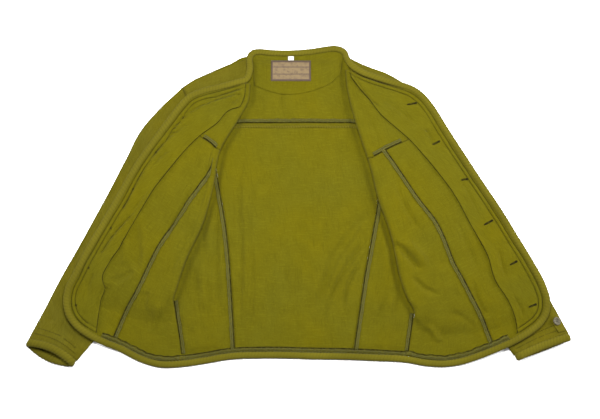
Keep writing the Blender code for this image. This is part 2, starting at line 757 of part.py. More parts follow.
def build_front(name, table, front):
    yoke_line = front.line(table["yoke"], 0, 1)
    princess_line = front.line(table["princess"], 1, 0)
    facing_line = front.line(table["facing"], 1, 0)
    # half a seam's gap as shares, the side panel's least width, and the columns given to the roll
    gap_b = 0.5 / front.fold.length
    gap_a = 0.25 / FRONT_WIDTH
    narrow = 0.04
    lip = 0.4

    def roll_and_sheet(u, reach):
        """Spreads the columns over the roll (u below lip) and the sheet."""
        return np.where(u < lip, -(lip - u) / lip, (u - lip) / (1 - lip) * reach)

    def yoke(u, v):
        s = roll_and_sheet(u, 1.0)
        return front(s, v * (yoke_line(np.clip(s, 0, 1)) - gap_b))

    def below_yoke(s, v):
        top = yoke_line(np.clip(s, 0, 1)) + gap_b
        return top + v * (1 - top)

    def side(u, v):
        b = v
        for _ in range(12):
            s = roll_and_sheet(u, np.maximum(princess_line(b), narrow) - gap_a)
            b = below_yoke(s, v)
        return front(s, b)

    def centre(u, v):
        b = v
        for _ in range(12):
            first = np.maximum(princess_line(b), narrow) + gap_a
            s = first + u * (1 - first)
            b = below_yoke(s, v)
        return front(s, b)

    sheet(f"front_yoke_{name}", yoke, 10, 6)
    sheet(f"front_side_{name}", side, 10, 18)
    sheet(f"front_centre_{name}", centre, 5, 18)

    def facing(u, v):
        b = 0.004 + v * 0.99
        a = np.maximum(facing_line(b), 0.02)
        return front.raised(a + u * (0.98 - a), b, CLOTH + LAYER_GAP)

    sheet(f"facing_{name}", facing, 4, 28, FACING)

    def band(rows, first, last, along=(0.0, 1.0), lift=CLOTH + LAYER_GAP):
        """A seam allowance on the front, beside a line, from one offset to another."""
        curve = Curve(rows)

        def surface(u, v):
            share = along[0] + v * (along[1] - along[0])
            plan = curve(share)[:, :2] + curve.left_normal(share) * (first + u * (last - first))[:, None]
            shares = np.clip(front.locate(plan), 0.01, 0.99)
            return front.raised(shares[:, 0], shares[:, 1], lift)

        return surface

    shown = Curve(table["yoke"]).row_share(table["yoke_free_rows"])
    sheet(
        f"allowance_front_yoke_{name}",
        band(table["yoke"], front.side * SEAM_GAP, front.side * ALLOWANCE, shown),
        1,
        3,
        FACING,
        "overlocked edge",
    )
    sheet(
        f"allowance_front_princess_{name}",
        band(table["princess"], -front.side * SEAM_GAP, -front.side * ALLOWANCE, (0.08, 0.94)),
        1,
        16,
        FACING,
        "overlocked edge",
    )
    sheet(
        f"allowance_front_hem_{name}",
        hem_band(front, facing_line),
        1,
        10,
        FACING,
        "overlocked edge",
    )
    build_under_layer(name, table, front)


def hem_band(front, facing_line):
    """The overlocked allowance inside a front's hem, from the side seam to the facing."""
    inset = PIPING_WIDTH / 2 + EDGE_GAP + ALLOWANCE_START
    last = facing_line(np.array([0.97]))[0] - 0.035

    def surface(u, v):
        share = 1.0 + (0.04 + v * (last - 0.04)) * (front.at["low"] - 1.0)
        inward = -front.side * front.piping.left_normal(share)
        plan = front.piping(share)[:, :2] + inward * (inset + u * HEM_ALLOWANCE)[:, None]
        shares = np.clip(front.locate(plan), 0.01, 0.99)
        return front.raised(shares[:, 0], shares[:, 1], CLOTH + LAYER_GAP)

    return surface


def build_under_layer(name, table, front):
    """The part of the front that stays unturned, between the back and the flipped part."""
    body_side = Curve(table["body_side"])
    shares = np.linspace(0.03, table["under_end"], 10)
    fold_side = front.roll_top(shares)[:, :2] + front.side * front.fold.left_normal(shares) * FOLD_GAP
    neck = front.piping(np.array([0.0, 0.5, 1.0]) * front.at["neck"] * 0.55)
    inset = front.piping.left_normal(np.array([0.0, 0.5, 1.0]) * front.at["neck"] * 0.55)
    neck_side = neck[:, :2] + front.side * inset * (PIPING_WIDTH / 2 + EDGE_GAP)
    near = Curve(np.concatenate([neck_side, fold_side]))
    last = body_side.row_share(len(table["body_side"]) - 1) * table["under_side_end"]

    def far(b):
        return body_side(b * last) - front.side * body_side.left_normal(b * last) * ARMHOLE_GAP

    shoulder = Curve(tuple(reversed(table["shoulder"])))
    patch = Patch(near, far, shoulder, straight(near(1.0)[0], far(1.0)[0]))

    def surface(a, b):
        rise = CLOTH + SEAM_GAP + (UNDER_LAYER - CLOTH - SEAM_GAP) * smoothstep(b / 0.06)
        return np.column_stack([patch(a, b), rise])

    sheet(f"front_under_{name}", surface, 8, 22, colour="wool outside")


def button(name, place, axis, diameter, thick):
    """A flat round button, its middle at place."""
    disc = bmesh.new()
    turn = Vector(axis).to_track_quat("Z", "Y").to_matrix().to_4x4()
    bmesh.ops.create_cone(
        disc,
        cap_ends=True,
        segments=16,
        radius1=diameter / 2 * MM,
        radius2=diameter / 2 * MM,
        depth=thick * MM,
        matrix=Matrix.Translation(Vector(np.array(place) - MIDDLE) * MM) @ turn,
    )
    add_object(name, disc, "button", roughness=0.4)


def build_front_buttons(front):
    """The front buttons, on the outer side of the flipped left front, between it and the sleeve."""
    for number in range(BUTTONS):
        share = np.array([front.at["top"] + (FIRST_BUTTON + number * BUTTON_PITCH) / front.piping.length])
        inward = -front.side * front.piping.left_normal(share)
        middle = front.piping(share)[:, :2] + inward * BUTTON_INSET
        around = middle + BUTTON_DIAMETER / 2 * np.array([(0, 0), (1, 0), (-1, 0), (0, 1), (0, -1)])
        shares = front.locate(around)
        lowest = front(shares[:, 0], shares[:, 1])[:, 2].min()
        place = (*middle[0], lowest - LAYER_GAP - BUTTON_THICK / 2)
        button(f"front_button_{number + 1}", place, (0, 0, 1), BUTTON_DIAMETER, BUTTON_THICK)


def build_vent(sleeve):
    """The lapped slit at the right cuff and the button on it."""

    def lap(u, v):
        return sleeve.upper_raised(0.03 + 0.14 * u, 0.94 + 0.045 * v, CLOTH + LAP_GAP)

    sheet("cuff_vent_right", lap, 3, 4, FACING, "wool outside")
    at = np.array([0.1]), np.array([0.945])
    on_lap = CLOTH + LAP_GAP + FACING + LAYER_GAP
    foot = sleeve.upper_raised(*at, on_lap)[0]
    place = sleeve.upper_raised(*at, on_lap + CUFF_BUTTON_THICK / 2)[0]
    button("cuff_button_right", place, place - foot, CUFF_BUTTON_DIAMETER, CUFF_BUTTON_THICK)


jacket = bpy.data.collections.new("collarless_jacket")


def main():
    for old in list(bpy.data.objects):
        bpy.data.objects.remove(old, do_unlink=True)
    bpy.context.scene.collection.children.link(jacket)
    build_back()
    build_back_trims()
    edge_piping("piping_neck", NECK)
    hem_trim = 0.3 / Curve(HEM).length
    edge_piping("piping_hem", HEM, hem_trim, 1 - hem_trim)
    for name, table in FRONT_TABLES.items():
        front = Front(table)
        build_front(name, table, front)
        edge_piping(f"piping_front_{name}", table["piping"])
        sleeve = Sleeve(SLEEVE_TABLES[name], front)
        sheet(f"under_sleeve_{name}", sleeve.under, 12, 20, colour="wool outside")
        sheet(f"upper_sleeve_{name}", sleeve.upper, 9, 17, colour="wool outside")
        ring = sleeve.ring(32)
        wide = np.tile(np.append(sleeve.along, 0.0), (len(ring), 1))
        tube(f"cuff_roll_{name}", ring, wide, CUFF_ROLL_WIDTH / 2, closed=True)
        if name == "left":
            build_front_buttons(front)
            place = sleeve.under(np.array([0.3]), np.array([0.965]))[0]
            place[2] = CUFF_BUTTON_THICK / 2
            button("cuff_button_left", place, (0, 0, 1), CUFF_BUTTON_DIAMETER, CUFF_BUTTON_THICK)
        else:
            build_vent(sleeve)


main()
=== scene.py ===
"""The looks of a collarless wool jacket laid open on its back, both fronts flipped outwards over the sleeves.

Tables and functions are in millimetres, with the origin where the jacket's own tables have it; the scene is
in metres with the middle of the garment's box at the origin.
"""

import math

import bmesh
import bpy
import numpy as np
from mathutils import Matrix, Vector, kdtree


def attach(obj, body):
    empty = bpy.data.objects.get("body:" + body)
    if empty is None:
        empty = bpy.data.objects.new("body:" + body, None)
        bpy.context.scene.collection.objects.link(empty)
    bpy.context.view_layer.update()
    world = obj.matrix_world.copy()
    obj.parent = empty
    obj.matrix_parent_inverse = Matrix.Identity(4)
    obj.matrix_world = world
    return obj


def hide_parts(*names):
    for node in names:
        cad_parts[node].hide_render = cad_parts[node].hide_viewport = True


bl_info = {
    "name": "Collarless Jacket Laid Open",
    "version": (1, 0, 0),
    "blender": (4, 5, 0),
    "location": "3D View > Sidebar > Jacket",
    "description": "Builds the cloth, piping, stitching and buttons of a collarless jacket laid open",
    "category": "Add Mesh",
}

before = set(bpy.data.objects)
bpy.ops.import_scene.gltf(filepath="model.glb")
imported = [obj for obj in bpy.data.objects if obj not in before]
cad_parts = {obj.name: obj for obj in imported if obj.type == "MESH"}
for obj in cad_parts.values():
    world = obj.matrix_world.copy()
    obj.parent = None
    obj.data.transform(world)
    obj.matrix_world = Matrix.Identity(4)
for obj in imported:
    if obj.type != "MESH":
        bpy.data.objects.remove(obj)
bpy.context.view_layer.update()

MM = 0.001
MIDDLE = np.array((2.05, 12.31, 0.0))
BODY = "root"

# Layers and edges, as in the jacket's solids
SEAM_GAP = 0.3
LAYER_GAP = 0.7
ARMHOLE_GAP = 0.3
FOLD_GAP = 1.3
CLOTH = 1.6
FACING = 1.2
ALLOWANCE = 9.0
PIPING_WIDTH = 13.0
PIPING_HEIGHT = 8.0
# how far the cloth reaches in under the piping
TUCK = 2.4
# the rows of topstitching, from the piping's inner edge
STITCH_ROWS = (2.6, 10.5)
# the grooves that the two rows pull in, and the welt between them
GROOVE_WIDTHS = (1.5, 1.6)
GROOVE_DEPTH = 1.7
WELT_WIDTH = 3.0
WELT_HEIGHT = 0.9
# how deep and how wide cloth sinks beside a seam
SEAM_DIP = 0.9
SEAM_DIP_WIDTH = 3.0
# the overlocked seam allowances: their thickness and the length of one turn of thread
ALLOWANCE_THICK = 0.9
OVERLOCK_TURN = 2.4
CUFF_ROLL_WIDTH = 15.0
CUFF_RISE = 13.5
CUFF_LIFT = 3.6
UNDER_LAYER = CLOTH + 1.8
BUTTONS = 6
BUTTON_DIAMETER = 20.0
BUTTON_THICK = 3.2
BUTTON_PITCH = 91.0
BUTTON_INSET = 18.0
FIRST_BUTTON = 20.0
CUFF_BUTTON_DIAMETER = 17.0
CUFF_BUTTON_THICK = 3.0
# half a turned button's section, from its face round to its back, as shares of its radius and thickness
BUTTON_SECTION = (
    (0.0, 0.55), (0.36, 0.55), (0.5, 0.62), (0.62, 0.92), (0.78, 1.0), (0.92, 0.9), (1.0, 0.55), (0.96, 0.25),
    (0.8, 0.05), (0.4, 0.0), (0.0, 0.0),
)
TURNED_THICK = 3.0
LABEL_SIZE = (84.0, 46.0)
LABEL_CENTRE = (-14.0, 291.0)
TAB_SIZE = (12.0, 9.4)
TAB_CENTRE = (-14.0, 319.5)

# Outlines: a row for each place, x then y
NECK = (
    (-99, 327), (-93, 332), (-80, 334), (-58, 332), (-16, 331), (26, 334), (58, 339), (81, 341), (94, 337),
    (101, 329),
)
HEM = (
    (-229, -315), (-185, -309), (-138, -301), (-66, -298), (41, -300), (100, -301), (148, -303), (219, -307),
)
SHOULDER_LEFT = ((-243, 255), (-226, 268), (-185, 289), (-143, 308), (-108, 324))
SHOULDER_RIGHT = ((108, 318), (117, 313), (153, 297), (188, 285), (215, 270), (241, 252))
NECKLINE_OF_YOKE = (
    (-100, 323), (-93, 329), (-80, 331), (-58, 330), (-16, 329), (26, 332), (58, 337), (81, 339), (94, 334),
    (102, 326),
)
YOKE_SEAM = ((-210, 176), (-124, 176), (-1, 177), (120, 176), (211, 176))
LOW_SIDE_SEAM_LEFT = ((-249, -191), (-245.5, -213), (-239, -249), (-229.5, -308))
LOW_SIDE_SEAM_RIGHT = ((234, -216), (231, -235), (228, -253), (220.5, -300))
# the body's side from the shoulder tip down the armhole to the underarm, then down the side seam
BODY_SIDE_LEFT = (
    (-243, 255), (-224, 216), (-210, 176), (-205, 138), (-208, 95), (-219, 52), (-240, 0), (-247, -88),
    (-250, -140),
)
BODY_SIDE_RIGHT = (
    (241, 252), (223, 214), (211, 176), (206, 138), (209, 95), (220, 52), (240, 0), (246, -88), (241, -160),
)
YOKE_ROW = 2
UNDERARM_ROW = 6
BACK_PRINCESS_LEFT = (
    (-185, 176), (-175, 121), (-159, 36), (-144, -47), (-137, -108), (-129, -209), (-123, -294),
)
BACK_PRINCESS_RIGHT = (
    (180, 176), (173, 89), (161, -5), (148, -73), (134, -145), (123, -213), (110, -294),
)
NECK_FACING_EDGE = (
    (-91, 259), (-75, 252), (-58, 246), (-37, 240), (5, 241), (26, 246), (47, 253), (68, 263), (90, 285),
)
NECK_FACING_TOP = (
    (-96, 322), (-88, 328), (-78, 329), (-58, 328), (-16, 327), (26, 330), (58, 335), (79, 337), (90, 332),
    (97, 324),
)

FRONT_TABLES = {
    "left": {
        "side": -1,
        # the edge of the roll where the front turns back over itself
        "fold": (
            (-99, 261), (-101, 230), (-124, 181), (-158, 119), (-173, 35), (-192, -38), (-221, -103),
            (-241, -165),
        ),
        "low_seam": LOW_SIDE_SEAM_LEFT,
        # share of the fold's length, inner radius of the roll, its sweep in degrees, height of its lower end
        "roll": (
            (0.0, 4.5, 180, 5.0), (0.15, 6.0, 180, 5.0), (0.45, 7.5, 180, 5.0), (0.7, 6.5, 180, 5.0),
            (0.79, 5.0, 180, 5.0), (0.812, 4.5, 150, 3.7), (0.87, 4.0, 40, 0.2), (1.0, 4.0, 30, 0.0),
        ),
        # the middle of the corded piping from the neck round to the side seam, x, y and z
        "piping": (
            (-101, 320, 6), (-100, 291, 12), (-108, 269, 16), (-128, 262, 17), (-162, 252, 17),
            (-197, 243, 17), (-224, 231, 17), (-241, 213, 17), (-264, 181, 17), (-294, 138, 17),
            (-323, 94, 17), (-367, 11, 17), (-399, -49, 17), (-423, -94, 17), (-445, -140, 17),
            (-458, -170, 17), (-460, -194, 17), (-454, -218, 17), (-439, -239, 16), (-415, -257, 14),
            (-383, -273, 10), (-352, -285, 6), (-312, -305, 4), (-272, -316, 4), (-229.8, -315, 4),
        ),
        "rows": {"neck": 2.4, "top": 7, "low": 18},
        "yoke_free_rows": (0.3, 1.8),
        "under_end": 0.74,
        "under_side_end": 0.99,
        "yoke": ((-163, 115), (-180, 132), (-199, 145), (-226, 166), (-252, 185)),
        "princess": (
            (-172, 100), (-179, 80), (-199, 48), (-219, 19), (-239, -14), (-262, -49), (-281, -79),
            (-306, -130), (-325, -172), (-343, -204), (-367, -262),
        ),
        "facing": (
            (-113, 211), (-144, 200), (-166, 174), (-201, 148), (-231, 117), (-261, 79), (-291, 39),
            (-316, -4), (-339, -45), (-357, -82), (-378, -114), (-391, -146), (-386, -166), (-393, -188),
            (-397, -220), (-400, -255),
        ),
        "body_side": BODY_SIDE_LEFT,
        "shoulder": SHOULDER_LEFT,
    },
    "right": {
        "side": 1,
        "fold": (
            (100, 290), (102, 259), (109, 220), (119, 181), (131, 140), (149, 81), (164, 14), (182, -38),
            (193, -79), (204, -140), (219, -186),
        ),
        "low_seam": LOW_SIDE_SEAM_RIGHT,
        "roll": (
            (0.0, 4.5, 180, 5.0), (0.15, 6.0, 180, 5.0), (0.45, 7.5, 180, 5.0), (0.7, 7.0, 180, 5.0),
            (0.83, 5.5, 180, 5.0), (0.862, 4.5, 150, 3.7), (0.91, 4.0, 40, 0.2), (1.0, 4.0, 30, 0.0),
        ),
        "piping": (
            (103, 321, 6), (111, 304, 12), (135, 285, 16), (162, 274, 17), (189, 265, 17), (214, 257, 17),
            (240, 247, 17), (261, 230, 17), (277, 209, 17), (304, 162, 17), (334, 112, 17), (372, 49, 17),
            (411, -14, 17), (439, -64, 17), (467, -114, 17), (490, -162, 17), (497, -190, 17),
            (494, -214, 17), (481, -235, 17), (460, -252, 17), (432, -269, 15), (401, -283, 12),
            (361, -299, 8), (322, -311, 5), (290, -315, 4), (253, -313, 4), (219.8, -307, 4),
        ),
        "rows": {"neck": 1.2, "top": 6.5, "low": 19},
        "yoke_free_rows": (0.7, 2.8),
        "under_end": 0.76,
        "under_side_end": 0.97,
        "yoke": ((140, 93), (165, 107), (190, 121), (221, 136), (256, 155), (290, 172)),
        "princess": (
            (178, 122), (200, 90), (220, 59), (250, 13), (283, -32), (300, -69), (317, -116), (336, -152),
            (354, -190), (373, -229), (391, -280),
        ),
        "facing": (
            (112, 272), (130, 246), (150, 222), (171, 194), (201, 166), (232, 138), (262, 102), (293, 62),
            (321, 21), (345, -27), (368, -72), (383, -102), (395, -148), (423, -196), (435, -234),
            (437, -262),
        ),
        "body_side": BODY_SIDE_RIGHT,
        "shoulder": tuple(reversed(SHOULDER_RIGHT)),
    },
}

SLEEVE_TABLES = {
    "left": {
        "side": -1,
        "outer": (
            (-243, 254), (-288, 209), (-328, 158), (-353, 104), (-385, 36), (-432, -59), (-488, -169),
            (-515, -229),
        ),
        "inner": ((-241, 0), (-275, -43), (-319, -98), (-361, -183), (-397, -258)),
        "body_side": BODY_SIDE_LEFT,
        "cuff_ends": ((-536, -273), (-439, -314)),
        "pull_back": (9.5, -11.0),
        # share of the sleeve's length and how high it arches
        "arch": ((0.0, 2.0), (0.12, 4.6), (0.86, 4.6), (0.95, 9.0), (1.0, 10.0)),
        "under_front": 7.0,
    },
    "right": {
        "side": 1,
        "outer": (
            (241, 250), (285, 189), (344, 91), (402, -4), (459, -102), (487, -155), (507, -191), (525, -229),
        ),
        "inner": ((241, 0), (275, -43), (319, -113), (370, -207), (410, -270)),
        "body_side": BODY_SIDE_RIGHT,
        "cuff_ends": ((541, -262), (431, -303)),
        "pull_back": (3.0, -1.0),
        "arch": ((0.0, 2.0), (0.12, 7.0), (0.8, 8.5), (0.92, 10.5), (1.0, 11.0)),
        "under_front": 2.8,
    },
}

# Creases: width and depth in mm (a ridge has a negative depth), lean 1 for a ridge beside the trough on the
# left of its path, and the path's places
BACK_CREASES = (
    (4, 2.4, 0.7, ((-33, 247), (-31, 222), (-30, 195))),
    (9, 5.0, 1.0, ((140, -14), (111, -63), (82, -104), (66, -141), (51, -189), (45, -239))),
    (6, 3.4, 0.9, ((148, -59), (110, -113), (82, -157), (61, -205), (49, -259))),
    (6, 3.0, 0.8, ((190, -169), (169, -213), (153, -261))),
    (5, 2.4, 0.8, ((127, -113), (102, -169), (93, -221))),
    (5, 2.2, 0.8, ((-184, 32), (-186, -68), (-176, -189), (-182, -278))),
    (5, 2.4, -0.8, ((-165, 15), (-165, -108), (-153, -249))),
    (5, 2.0, 0.8, ((-113, 121), (-116, 15), (-110, -108), (-115, -249))),
    (4, 1.6, -0.7, ((-98, 99), (-99, -26), (-91, -169), (-98, -269))),
    (4, 1.4, -0.6, ((-47, 165), (-45, 120), (-47, 60), (-45, 0))),
    (5, 1.9, 0.8, ((55, 131), (50, 36), (58, -68), (50, -129))),
    (4, 1.6, -0.7, ((67, 121), (69, 15), (74, -68))),
    (5, 1.5, 0.6, ((-50, -120), (-52, -180), (-48, -250))),
    (5, 1.3, -0.6, ((-22, -60), (-25, -140), (-20, -230))),
    (5, 1.6, 0.6, ((0, -90), (4, -150), (-4, -220), (2, -260))),
    (5, 1.6, 0.6, ((84, 150), (88, 90), (80, 30), (84, -14))),
    (6, 2.4, 0.7, ((-205, -120), (-196, -180), (-190, -240), (-186, -280))),
    (13, -3.6, 0.0, ((-176, 30), (-182, -60), (-188, -140), (-190, -220), (-194, -270))),
    (13, -3.4, 0.0, ((170, 20), (176, -60), (184, -140), (186, -220), (190, -270))),
    (5, 2.2, 0.6, ((206, -170), (198, -220), (194, -280))),
    (3, 1.8, 0.4, ((-215, -240), (-206, -262), (-202, -288))),
    (3, 1.6, 0.4, ((-150, -262), (-146, -284))),
    (4, 1.6, 0.5, ((60, 262), (84, 236), (94, 214))),
    (4, 1.4, 0.5, ((-80, 240), (-70, 214), (-74, 190))),
    (3, 1.2, 0.5, ((20, 168), (22, 140), (18, 108))),
)
FRONT_CREASES = {
    "left": (
        (2.6, 1.5, 0.8, ((-99, 254), (-136, 241), (-178, 226), (-219, 211))),
        (2.6, 1.7, 0.8, ((-103, 241), (-145, 230), (-190, 215), (-227, 194), (-251, 168), (-275, 130))),
        (2.8, 1.9, 0.8, ((-222, 177), (-251, 155), (-279, 126), (-299, 100), (-314, 71))),
        (3, 1.4, 0.8, ((-303, 96), (-322, 62), (-341, 21), (-360, -16))),
        (3, 2.2, 0.9, ((-332, -12), (-355, -41), (-378, -70), (-393, -94), (-407, -108))),
        (3, 1.6, 0.8, ((-262, 118), (-284, 98), (-300, 80))),
        (8, 4.4, 1.0, ((-322, -30), (-322, -66), (-318, -100), (-322, -132))),
        (6, 3.6, 0.9, ((-326, -132), (-346, -146), (-372, -158))),
        (9, -3.0, 0.0, ((-344, -60), (-346, -96), (-352, -124))),
        (7, 3.0, 0.8, ((-374, -158), (-389, -186), (-392, -214))),
        (7, 3.0, 0.8, ((-298, -166), (-305, -206), (-300, -241))),
        (9, 4.0, 0.9, ((-239, -190), (-258, -225), (-273, -257), (-280, -280))),
        (9, -3.0, 0.0, ((-275, -190), (-284, -226), (-292, -262))),
        (3.5, 2.4, 0.6, ((-282, -276), (-292, -288), (-299, -296))),
        (3.5, 2.4, 0.6, ((-268, -278), (-276, -292), (-272, -302))),
        (6, 2.0, 0.6, ((-140, 216), (-128, 226), (-118, 240))),
        (6, 2.4, 0.6, ((-214, 60), (-222, 18), (-250, -40), (-262, -90))),
        (6, 2.0, -0.5, ((-205, -20), (-224, -72), (-250, -120), (-270, -150))),
        (5, 1.4, 0.5, ((-300, 40), (-330, -8), (-352, -50))),
        (4, 1.8, 0.6, ((-404, -130), (-416, -160), (-420, -190))),
        (6, 2.0, 0.4, ((-180, 70), (-190, 20), (-204, -20))),
    ),
    "right": (
        (7, 4.6, 1.0, ((197, -69), (211, -85), (227, -102), (242, -122), (250, -134))),
        (7, -3.8, 0.0, ((217, -69), (235, -89), (254, -114), (254, -130))),
        (6, 2.6, 0.7, ((230, -138), (257, -166), (289, -178))),
        (7, 3.4, 0.8, ((228, -214), (243, -241), (263, -261), (278, -278))),
        (5, -3.4, 0.0, ((258, -236), (274, -256), (286, -276))),
        (4, 2.6, 0.6, ((259, -257), (275, -273), (282, -292))),
        (5, 2.4, 0.6, ((406, -85), (413, -118), (420, -150))),
        (3, 1.6, 0.8, ((108, 293), (134, 250), (163, 215), (179, 202))),
        (3, 1.6, 0.8, ((114, 298), (155, 276), (205, 259), (234, 241))),
        (4, 1.8, 0.7, ((261, 168), (273, 151), (281, 126))),
        (5, 1.8, 0.6, ((170, 236), (196, 214), (226, 190), (256, 160))),
        (6, 2.0, 0.5, ((200, 60), (214, 14), (236, -30), (262, -62))),
        (6, 2.0, -0.5, ((320, -20), (336, -70), (352, -110), (370, -150))),
        (6, 2.0, 0.5, ((300, -210), (330, -222), (356, -244))),
        (6, 2.2, 0.6, ((352, -150), (366, -196), (384, -226))),
        (4, 1.4, 0.5, ((330, 60), (352, 20), (372, -20))),
        (4, 1.6, 0.6, ((432, -180), (446, -206), (450, -226))),
        (5, 1.6, 0.5, ((150, 200), (160, 160), (176, 126))),
    ),
}
SLEEVE_CREASES = {
    "left": (
        (12, 3.0, 0.5, ((-350, 60), (-372, 40), (-392, 10))),
        (10, 3.0, 0.6, ((-470, -150), (-452, -190), (-444, -232), (-440, -280))),
        (9, 2.2, 0.4, ((-500, -220), (-480, -236), (-468, -262))),
        (8, 1.8, 0.3, ((-300, 176), (-316, 150), (-326, 110))),
        (8, 1.8, 0.3, ((-262, 226), (-272, 206), (-268, 180))),
        (10, 2.4, 0.5, ((-420, -40), (-440, -90), (-470, -130))),
    ),
    "right": (
        (7, 1.8, 0.4, ((500, -200), (490, -226), (478, -250))),
        (8, 2.0, 0.4, ((520, -232), (500, -242), (470, -256))),
        (9, 2.0, 0.3, ((440, -262), (452, -272), (456, -286))),
    ),
}
CREASE_DEPTH = 1.3
# Long shallow waves over all the cloth: wavelength, turn in degrees, height, start of the wave
RUMPLES = (
    (142, 12, 0.55, 0.4), (97, 64, 0.45, 1.9), (71, 131, 0.35, 3.3), (53, 38, 0.25, 5.0),
    (38, 101, 0.16, 0.9), (29, 158, 0.10, 2.6),
)
BUTTONHOLES = (
    ((227, 213), (248, 217)), ((277, 127), (293, 136)), ((334, 54), (348, 56)), ((377, -39), (396, -29)),
    ((426, -120), (441, -112)), ((460, -204), (476, -198)),
)
# the tapes inside the side seams, downwards
SIDE_TAPES = {
    "left": ((-250, -172), (-246, -195), (-239, -245), (-231, -300)),
    "right": ((233, -180), (227, -216), (222, -255), (219, -295)),
}
# where the hem allowances of the back and the fronts meet at the side seams
HEM_JOINTS = (
    ("left", (-237.0, -303.4), (-223.5, -302.2)),
    ("right", (215.5, -294.2), (228.0, -294.6)),
)
HEM_JOINT_HEIGHT = 2.8
TAPE_HEIGHT = 0.9
ARMHOLE_TAPE_HEIGHT = 1.3
# how far the tape inside the hem lies in from the middle of the piping
HEM_TAPE_INSET = 7.0
# the gathered row under the back yoke: its ends and line, and the distance between its gathers, each with a
# tick of painted shade
YOKE_WELT_ENDS = (-150, 150)
YOKE_WELT_Y = 169.5
YOKE_WELT_PITCH = 5.4
# the places where the back's creases fade out at the hem and under the neck facing
BACK_HEM_Y = -300.0
BACK_NECK_Y = 322

# The stage: each lamp's name, place and size in metres and its power, then the world's light and the camera
LAMPS = (
    ("soft box left", (-1.6, 0.4, 0.75), 0.7, 38.0),
    ("soft box right", (1.6, 0.3, 0.75), 0.7, 56.0),
    ("soft box above", (0.0, 0.16, 1.1), 0.45, 42.0),
)
WORLD_LIGHT = 0.39
FLOOR_HALF = 6.0
FLOOR_DROP = 0.0004
CAMERA_ELEVATION = 80.0
CAMERA_REACH = 1.7083
CAMERA_AIM = (5.1, -4.1, 0.0)


def smoothstep(share):
    """A soft rise from 0 to 1 while the share goes from 0 to 1."""
    share = np.clip(share, 0.0, 1.0)
    return share * share * (3.0 - 2.0 * share)


def reach_along(path):
    """How far along a path each of its points lies."""
    return np.concatenate([[0.0], np.cumsum(np.linalg.norm(np.diff(path, axis=0), axis=1))])


def places_along(path, at):
    """The places this far along a path of points."""
    reach = reach_along(path)
    return np.column_stack([np.interp(at, reach, column) for column in path.T])


def moved_out(surface, u, v, nudge, lift):
    """Places of surface(u, v) moved out along its normal."""
    along_u = surface(u + nudge, v) - surface(u - nudge, v)
    along_v = surface(u, v + nudge) - surface(u, v - nudge)
    normal = np.cross(along_u, along_v)
    normal /= np.linalg.norm(normal, axis=1)[:, None]
    normal *= np.sign(normal[:, 2:])
    return surface(u, v) + normal * np.reshape(lift, (-1, 1))


class Curve:
    """A smooth curve through a table's rows, read by the share of its length in plan."""

    def __init__(self, rows):
        self.points = np.array(rows, float)
        steps = np.linalg.norm(np.diff(self.points[:, :2], axis=0), axis=1)
        self.at = np.concatenate([[0.0], np.cumsum(steps)])
        self.length = self.at[-1]
        slope = np.diff(self.points, axis=0) / steps[:, None]
        before, after = steps[:-1, None], steps[1:, None]
        inner = (slope[:-1] * after + slope[1:] * before) / (before + after)
        self.tangents = np.concatenate([slope[:1], inner, slope[-1:]])

    def row_share(self, row):
        return np.interp(row, np.arange(len(self.at)), self.at) / self.length

    def __call__(self, share):
        reach = np.atleast_1d(np.asarray(share, float)) * self.length
        i = np.clip(np.searchsorted(self.at, reach, side="right") - 1, 0, len(self.at) - 2)
        step = (self.at[i + 1] - self.at[i])[:, None]
        t = ((reach - self.at[i])[:, None]) / step
        rise = 3 * t**2 - 2 * t**3
        return (
            (1 - rise) * self.points[i]
            + rise * self.points[i + 1]
            + (t**3 - 2 * t**2 + t) * step * self.tangents[i]
            + (t**3 - t**2) * step * self.tangents[i + 1]
        )

    def left_normal(self, share):
        share = np.atleast_1d(np.asarray(share, float))
        nudge = 0.5 / self.length
        ahead = self(share + nudge)[:, :2] - self(share - nudge)[:, :2]
        ahead /= np.linalg.norm(ahead, axis=1)[:, None]
        return np.stack([-ahead[:, 1], ahead[:, 0]], axis=1)


class Patch:
    """A surface between four edges: near and far by share b, start (b = 0) and end (b = 1) by share a."""

    def __init__(self, near, far, start, end):
        self.near, self.far, self.start, self.end = near, far, start, end
        self.corners = [curve(np.array([b]))[0] for b in (0.0, 1.0) for curve in (near, far)]
        self.start_ends = start(np.array([0.0]))[0], start(np.array([1.0]))[0]
        self.end_ends = end(np.array([0.0]))[0], end(np.array([1.0]))[0]

    def __call__(self, a, b):
        share_a, share_b = a[:, None], b[:, None]
        near_start, far_start, near_end, far_end = self.corners
        start = self.start(a) + (1 - share_a) * (near_start - self.start_ends[0])
        start += share_a * (far_start - self.start_ends[1])
        end = self.end(a) + (1 - share_a) * (near_end - self.end_ends[0])
        end += share_a * (far_end - self.end_ends[1])
        corner = (1 - share_b) * ((1 - share_a) * near_start + share_a * far_start) + share_b * (
            (1 - share_a) * near_end + share_a * far_end
        )
        return (
            (1 - share_a) * self.near(b)
            + share_a * self.far(b)
            + (1 - share_b) * start
            + share_b * end
            - corner
        )


